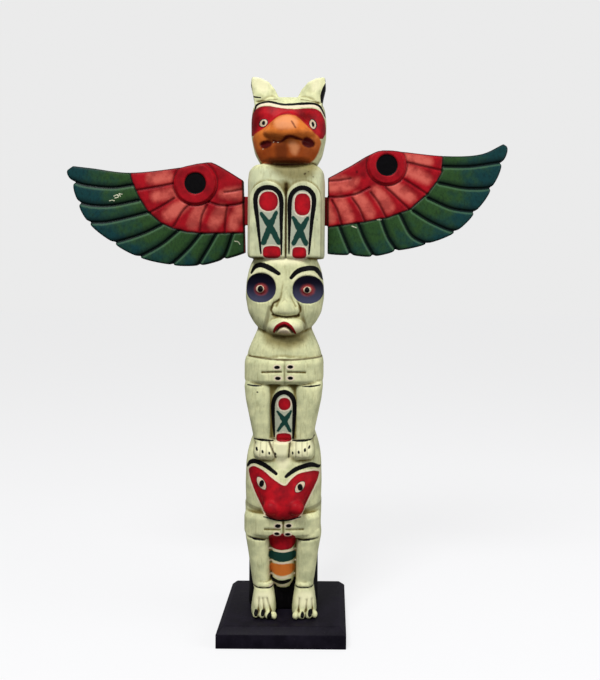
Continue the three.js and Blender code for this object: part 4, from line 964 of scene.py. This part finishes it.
def buildPlinth(form):
    deselectAll()
    bpy.ops.mesh.primitive_cube_add(size=2)
    piece = bpy.context.object
    piece.name = piece.data.name = "blackPlinth"
    points = pointsOf(piece) / 1000 * (form["width"] / 2, form["depth"] / 2, form["height"] / 2)
    points[:, 2] += form["height"] / 2
    points[:, 2] = np.where(points[:, 2] > 1, form["height"] - form["bevelDrop"], points[:, 2])
    movePoints(piece, points)
    bpy.ops.object.mode_set(mode="EDIT")
    bpy.ops.mesh.select_mode(type="FACE")
    bpy.ops.mesh.select_all(action="DESELECT")
    bpy.ops.object.mode_set(mode="OBJECT")
    for face in piece.data.polygons:
        face.select = face.normal.z > 0.9
    bpy.ops.object.mode_set(mode="EDIT")
    bpy.ops.mesh.inset(thickness=form["bevelWidth"] / 1000, depth=form["bevelDrop"] / 1000)
    bpy.ops.object.mode_set(mode="OBJECT")
    applyModifier(piece, "BEVEL", width=form["edge"] / 1000, segments=3, limit_method="ANGLE",
                  angle_limit=math.radians(15))
    return piece


plinthPiece = buildPlinth(plinthForm)


def linear(red, green, blue):  # a paint colour picked as 0 to 255 values
    def one(c):
        c = c / 255
        return c / 12.92 if c <= 0.04045 else ((c + 0.055) / 1.055) ** 2.4
    return (one(red), one(green), one(blue), 1)


def feed(tree, socket, value):  # a link where the value is another node's output
    if hasattr(value, "is_output"):
        tree.links.new(value, socket)
    else:
        socket.default_value = value


def addNode(tree, kind, values=None, **settings):
    node = tree.nodes.new(kind)
    for name, value in settings.items():
        setattr(node, name, value)
    for name, value in (values or {}).items():
        feed(tree, node.inputs[name], value)
    return node


def makeGroup(name, inputs, outputs):
    group = bpy.data.node_groups.new(name, "ShaderNodeTree")
    for label, kind, value in inputs:
        socket = group.interface.new_socket(label, in_out="INPUT", socket_type=kind)
        if value is not None:
            socket.default_value = value
    for label, kind in outputs:
        group.interface.new_socket(label, in_out="OUTPUT", socket_type=kind)
    return group, group.nodes.new("NodeGroupInput"), group.nodes.new("NodeGroupOutput")


def makePaintEdge():  # a painted shape's wavering edge from its distance in millimetres
    inputs = [("Distance", "NodeSocketFloat", 0.0), ("Vector", "NodeSocketVector", None),
              ("Waver", "NodeSocketFloat", 0.35), ("Soft", "NodeSocketFloat", 0.25)]
    group, into, out = makeGroup("paintEdge", inputs, [("Mask", "NodeSocketFloat")])
    grain = {"Vector": into.outputs["Vector"], "Scale": 420.0, "Detail": 2.0}
    cloud = addNode(group, "ShaderNodeTexNoise", grain)
    lean = addNode(group, "ShaderNodeMath", {0: cloud.outputs["Fac"], 1: 0.5}, operation="SUBTRACT")
    shaken = {0: lean.outputs[0], 1: into.outputs["Waver"], 2: into.outputs["Distance"]}
    shake = addNode(group, "ShaderNodeMath", shaken, operation="MULTIPLY_ADD")
    low = addNode(group, "ShaderNodeMath", {0: into.outputs["Soft"], 1: -1.0}, operation="MULTIPLY")
    limits = {"Value": shake.outputs[0], "From Min": low.outputs[0], "From Max": into.outputs["Soft"]}
    span = addNode(group, "ShaderNodeMapRange", limits, interpolation_type="SMOOTHSTEP")
    group.links.new(span.outputs["Result"], out.inputs["Mask"])
    return group


def makeBrushwork():  # streaks, blotches and a fine height left by the brush and the chisel
    names = ("Streaks", "Blotches", "Specks", "Height")
    inputs = [("Vector", "NodeSocketVector", None), ("Length", "NodeSocketFloat", 0.16)]
    group, into, out = makeGroup("brushwork", inputs, [(name, "NodeSocketFloat") for name in names])
    place = into.outputs["Vector"]
    stretch = addNode(group, "ShaderNodeCombineXYZ", {0: 1.0, 1: 1.0, 2: into.outputs["Length"]})
    drawn = addNode(group, "ShaderNodeVectorMath", {0: place, 1: stretch.outputs[0]}, operation="MULTIPLY")
    run = {"Vector": drawn.outputs[0], "Scale": 520.0, "Detail": 5.0, "Roughness": 0.6}
    streaks = addNode(group, "ShaderNodeTexNoise", run).outputs["Fac"]
    cloud = {"Vector": place, "Scale": 95.0, "Detail": 4.0, "Roughness": 0.55}
    blotches = addNode(group, "ShaderNodeTexNoise", cloud).outputs["Fac"]
    dots = {"Vector": place, "Scale": 900.0, "Detail": 2.0}
    specks = addNode(group, "ShaderNodeTexNoise", dots).outputs["Fac"]
    height = addNode(group, "ShaderNodeMath", {0: blotches, 1: 1.2, 2: streaks}, operation="MULTIPLY_ADD")
    for name, value in zip(names, (streaks, blotches, specks, height.outputs[0])):
        group.links.new(value, out.inputs[name])
    return group


paintEdge = makePaintEdge()
brushwork = makeBrushwork()


def startMaterial(name, length=0.16):
    material = bpy.data.materials.new(name)
    material.use_nodes = True
    tree = material.node_tree
    tree.nodes.clear()
    out = tree.nodes.new("ShaderNodeOutputMaterial")
    shader = tree.nodes.new("ShaderNodeBsdfPrincipled")
    tree.links.new(shader.outputs[0], out.inputs["Surface"])
    place = addNode(tree, "ShaderNodeTexCoord").outputs["Object"]
    brush = addNode(tree, "ShaderNodeGroup", {"Vector": place, "Length": length}, node_tree=brushwork)
    return material, tree, shader, place, brush


def stored(tree, name):
    return addNode(tree, "ShaderNodeAttribute", attribute_name=name).outputs["Fac"]


def ranged(tree, value, low, high, top=1.0, bottom=0.0):
    values = {"Value": value, "From Min": low, "From Max": high, "To Min": bottom, "To Max": top}
    return addNode(tree, "ShaderNodeMapRange", values).outputs["Result"]


def times(tree, a, b):
    return addNode(tree, "ShaderNodeMath", {0: a, 1: b}, operation="MULTIPLY").outputs[0]


def mixed(tree, mask, below, above, blend="MIX"):
    node = addNode(tree, "ShaderNodeMix", data_type="RGBA", blend_type=blend)
    for index, value in ((0, mask), (6, below), (7, above)):
        feed(tree, node.inputs[index], value)
    return node.outputs[2]


def edged(tree, name, place, waver, soft):
    values = {"Distance": stored(tree, name), "Vector": place, "Waver": waver, "Soft": soft}
    return addNode(tree, "ShaderNodeGroup", values, node_tree=paintEdge).outputs["Mask"]


def finish(tree, shader, colour, roughness, brush, depth):
    tree.links.new(colour, shader.inputs["Base Color"])
    shader.inputs["Specular IOR Level"].default_value = 0.08
    tree.links.new(roughness, shader.inputs["Roughness"])
    relief = {"Height": brush.outputs["Height"], "Distance": depth, "Strength": 0.6}
    bump = addNode(tree, "ShaderNodeBump", relief)
    tree.links.new(bump.outputs[0], shader.inputs["Normal"])


# painted light among these colours: the lighter cream highlight, the beak's dark and light patches, the
# greyer cream of the bird's shaded body, the lighter navy of the sockets' lower halves, and the shadow
polePaint = {
    "cream": linear(230, 230, 180), "creamWorn": linear(190, 193, 150), "shadedCream": linear(176, 184, 160),
    "wash": linear(122, 108, 52), "washDeep": linear(54, 44, 24), "grey": linear(164, 169, 154),
    "umber": linear(74, 58, 30), "red": linear(186, 20, 32), "redDark": linear(122, 14, 26),
    "orange": linear(212, 118, 48), "orangeDark": linear(142, 58, 20), "maroon": linear(74, 10, 10),
    "teal": linear(24, 60, 52), "pale": linear(232, 214, 190), "navy": linear(18, 16, 34),
    "navyLit": linear(58, 60, 84), "pink": linear(176, 62, 54), "white": linear(214, 196, 168),
    "black": linear(7, 6, 8), "blackWorn": linear(34, 30, 34), "brown": linear(96, 40, 16),
    "peach": linear(222, 146, 96), "sheen": linear(246, 242, 200), "shadow": linear(150, 132, 84),
}


def layered(tree, place, colour, layers):  # each layer is its field, its paint, waver, softness and cover
    for name, paint, waver, soft, cover in layers:
        mask = edged(tree, name, place, waver, soft)
        colour = mixed(tree, times(tree, mask, cover) if cover < 1 else mask, colour, paint)
    return colour


def makePolePaint(colours):
    material, tree, shader, place, brush = startMaterial("polePaint")
    streaks, blotches = brush.outputs["Streaks"], brush.outputs["Blotches"]
    hollow, deepHollow = stored(tree, "hollow"), stored(tree, "deepHollow")
    height = addNode(tree, "ShaderNodeSeparateXYZ", {"Vector": place}).outputs["Z"]
    cream = mixed(tree, ranged(tree, blotches, 0.32, 0.66), colours["cream"], colours["creamWorn"])
    body = times(tree, ranged(tree, height, 0.331, 0.335), ranged(tree, height, 0.413, 0.408))
    cream = mixed(tree, times(tree, body, 0.4), cream, colours["shadedCream"])  # painted shade: the bird's body is greyer, a shaded copy of the cream
    cream = mixed(tree, ranged(tree, streaks, 0.52, 0.76, 0.42), cream, colours["wash"])
    streaked = times(tree, ranged(tree, hollow, 0.04, 0.55), ranged(tree, streaks, 0.25, 0.6, 1.0, 0.5))
    washed = mixed(tree, streaked, cream, colours["wash"])
    washed = mixed(tree, ranged(tree, deepHollow, 0.25, 2.0, 0.92), washed, colours["wash"])
    washed = mixed(tree, ranged(tree, hollow, 0.45, 1.2, 0.9), washed, colours["washDeep"])
    red = mixed(tree, ranged(tree, blotches, 0.38, 0.72), colours["red"], colours["redDark"])
    red = mixed(tree, ranged(tree, stored(tree, "red"), 0.2, 2.6, 0.0, 0.7), red, colours["redDark"])
    low = times(tree, ranged(tree, height, 0.426, 0.441, 0.0, 0.75), ranged(tree, height, 0.38, 0.4))
    orange = mixed(tree, low, colours["orange"], colours["orangeDark"])
    orange = mixed(tree, ranged(tree, blotches, 0.44, 0.74, 0.7), orange, colours["orangeDark"])
    # painted shade under the beak's tip and along the chin, then painted highlights on the ridge of the beak
    # and on the lower beak
    orange = layered(tree, place, orange, [
        ("brown", colours["brown"], 1.5, 2.6, 0.75),
        ("peach", colours["peach"], 1.5, 2.6, 0.85),
    ])
    # painted light: the navy of each eye socket is lighter in its lower half
    lighterTone = times(tree, ranged(tree, height, 0.294, 0.309, 0.0, 0.9), ranged(tree, height, 0.2, 0.25))
    navy = mixed(tree, lighterTone, colours["navy"], colours["navyLit"])
    black = mixed(tree, ranged(tree, streaks, 0.58, 0.78, 0.5), colours["black"], colours["blackWorn"])
    colour = layered(tree, place, washed, [
        # painted highlight: a lighter cream where light falls
        ("sheen", colours["sheen"], 1.5, 3.0, 0.75),
        ("grey", colours["grey"], 0.6, 0.6, 0.8),
        ("umber", colours["umber"], 0.5, 0.5, 0.8),
        ("carved", colours["umber"], 0.5, 0.7, 0.42),
        ("red", red, 0.35, 0.25, 1),
        ("orange", orange, 0.5, 0.8, 1),
        ("maroon", colours["maroon"], 0.8, 0.9, 1),
        ("teal", colours["teal"], 1.3, 0.35, 1),
        ("pale", colours["pale"], 0.9, 0.35, 0.85),
        ("navy", navy, 0.5, 0.4, 1),
        ("pink", colours["pink"], 1.0, 2.2, 0.85),
        ("white", colours["white"], 0.3, 0.25, 1),
        ("black", black, 0.45, 0.25, 1),
    ])
    shade = times(tree, edged(tree, "shadow", place, 2.0, 5.0), 0.8)
    colour = mixed(tree, shade, colour, colours["shadow"], "MULTIPLY")
    finish(tree, shader, colour, ranged(tree, streaks, 0.2, 0.8, 0.55, 0.4), brush, 0.00025)
    return material


wingPaint = {
    "red": linear(168, 18, 30), "redDeep": linear(84, 8, 16), "salmon": linear(208, 98, 86),
    "green": linear(44, 74, 38), "teal": linear(20, 58, 60), "dark": linear(8, 20, 20),
    "light": linear(88, 126, 92), "black": linear(4, 3, 5), "back": linear(26, 26, 30),
    "joint": linear(128, 22, 28), "chip": linear(206, 206, 180),
}


def makeWingPaint(colours):
    material, tree, shader, place, brush = startMaterial("wingPaint", 0.6)
    streaks, blotches = brush.outputs["Streaks"], brush.outputs["Blotches"]
    uneven = ranged(tree, blotches, 0.3, 0.7, 1.4, -1.4)
    far = addNode(tree, "ShaderNodeMath", {0: uneven, 1: stored(tree, "spread")}, operation="ADD")
    green = mixed(tree, ranged(tree, far.outputs[0], 1.6, 4.6), colours["green"], colours["teal"])
    green = mixed(tree, ranged(tree, streaks, 0.46, 0.8, 0.6), green, colours["dark"])
    green = layered(tree, place, green, [
        ("shade", colours["dark"], 1.4, 2.6, 0.7),
        ("rimLight", colours["light"], 0.9, 0.8, 0.4),
    ])
    red = mixed(tree, ranged(tree, blotches, 0.35, 0.7, 0.7), colours["red"], colours["redDeep"])
    daub = times(tree, edged(tree, "salmon", place, 1.8, 3.2), ranged(tree, blotches, 0.62, 0.42, 0.95, 0.4))
    red = mixed(tree, daub, red, colours["salmon"])
    red = layered(tree, place, red, [("redGroove", colours["redDeep"], 0.7, 0.9, 0.85)])
    colour = layered(tree, place, red, [
        ("feather", green, 0.5, 0.25, 1),
        ("groove", colours["dark"], 0.6, 0.6, 0.92),
        ("disc", colours["black"], 0.3, 0.25, 1),
        ("chip", colours["chip"], 0.6, 0.25, 1),
        ("edgeLine", colours["dark"], 0.7, 0.5, 0.75),
    ])
    back = mixed(tree, ranged(tree, blotches, 0.4, 0.7), colours["black"], colours["back"])
    colour = mixed(tree, edged(tree, "ahead", place, 0.8, 0.4), back, colour)
    colour = layered(tree, place, colour, [("joint", colours["joint"], 0.3, 0.25, 1)])
    finish(tree, shader, colour, ranged(tree, streaks, 0.2, 0.8, 0.5, 0.34), brush, 0.0002)
    return material


# the plinth's lighter tone is its worn paint, the dust its pale specks
plinthPaint = {"black": linear(18, 15, 24), "lighterTone": linear(38, 34, 46), "dust": linear(78, 74, 84)}


def makePlinthPaint(colours):
    material, tree, shader, _, brush = startMaterial("plinthPaint", 1.0)
    blotches, specks = brush.outputs["Blotches"], brush.outputs["Specks"]
    colour = mixed(tree, ranged(tree, blotches, 0.4, 0.75, 0.5), colours["black"], colours["lighterTone"])
    colour = mixed(tree, ranged(tree, specks, 0.66, 0.78, 0.35), colour, colours["dust"])
    finish(tree, shader, colour, ranged(tree, blotches, 0.2, 0.8, 0.58, 0.4), brush, 0.00025)
    return material


def dress(piece, material, node):
    piece.data.materials.clear()
    piece.data.materials.append(material)
    choose([piece])
    bpy.ops.object.shade_smooth_by_angle(angle=math.radians(60 if piece.name != "blackPlinth" else 30))
    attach(piece, "root")
    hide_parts(node)


polePaintMaterial = makePolePaint(polePaint)
wingPaintMaterial = makeWingPaint(wingPaint)
plinthPaintMaterial = makePlinthPaint(plinthPaint)
dress(pole, polePaintMaterial, "carved_pole")
dress(leftPiece, wingPaintMaterial, "left_wing")
dress(rightPiece, wingPaintMaterial, "right_wing")
dress(plinthPiece, plinthPaintMaterial, "plinth")
print("stage: painted")

cameraValues = {
    "place": (0.0420, -0.7240, 0.3070),
    "focalPixels": 790,
    "eyeColumn": 333,  # pixel column and row straight ahead of the lens
    "eyeRow": 286,
    "roll": -0.40,
}


def makeCamera(values):
    data = bpy.data.cameras.new("photoCamera")
    camera = bpy.data.objects.new("photoCamera", data)
    bpy.context.scene.collection.objects.link(camera)
    data.sensor_fit = "HORIZONTAL"
    data.sensor_width = 36
    data.lens = values["focalPixels"] / 600 * 36
    data.shift_x = (300 - values["eyeColumn"]) / 600
    data.shift_y = (values["eyeRow"] - 340) / 600
    camera.location = values["place"]
    camera.rotation_euler = Euler((math.radians(90), math.radians(values["roll"]), 0), "XYZ")
    bpy.context.scene.camera = camera


studio = {
    "world": 0.33,
    "key": 16.5,
    "fill": 6.0,
    "floor": linear(124, 124, 127),
    "glow": 0.76,
    "backdrop": 0.83,
}


def areaLight(name, place, aim, size, power):
    data = bpy.data.lights.new(name, "AREA")
    data.size = size
    data.energy = power
    light = bpy.data.objects.new(name, data)
    bpy.context.scene.collection.objects.link(light)
    light.location = place
    run = np.array(aim) - np.array(place)
    lean, turn = math.atan2(math.hypot(run[0], run[1]), -run[2]), math.atan2(run[1], run[0]) - math.pi / 2
    light.rotation_euler = (lean, 0, turn)


def makeStudio(values):
    bpy.ops.mesh.primitive_plane_add(size=16)
    floor = bpy.context.object
    floor.name = "floor"
    material = bpy.data.materials.new("paleFloor")
    material.use_nodes = True
    tree = material.node_tree
    shader = tree.nodes["Principled BSDF"]
    shader.inputs["Base Color"].default_value = values["floor"]
    shader.inputs["Roughness"].default_value = 0.9
    shader.inputs["Specular IOR Level"].default_value = 0.0
    shader.inputs["Emission Color"].default_value = (1, 1, 1, 1)
    glow = times(tree, addNode(tree, "ShaderNodeLightPath").outputs["Is Camera Ray"], values["glow"])
    tree.links.new(glow, shader.inputs["Emission Strength"])  # the cloth shows as bright as the backdrop
    floor.data.materials.append(material)
    world = bpy.data.worlds.new("studio")
    bpy.context.scene.world = world
    world.use_nodes = True
    tree = world.node_tree
    sky = tree.nodes["Background"]
    sky.inputs[0].default_value = (1, 1, 1, 1)
    seen = addNode(tree, "ShaderNodeLightPath").outputs["Is Camera Ray"]
    tree.links.new(ranged(tree, seen, 0, 1, values["backdrop"], values["world"]), sky.inputs[1])
    areaLight("keyLight", (-0.3, -0.82, 1.35), (0, 0, 0.3), 0.45, values["key"])
    areaLight("fillLight", (1.05, -0.45, 0.6), (0, 0, 0.25), 0.8, values["fill"])
    bpy.context.scene.view_settings.view_transform = "Standard"


makeCamera(cameraValues)
deselectAll()
makeStudio(studio)
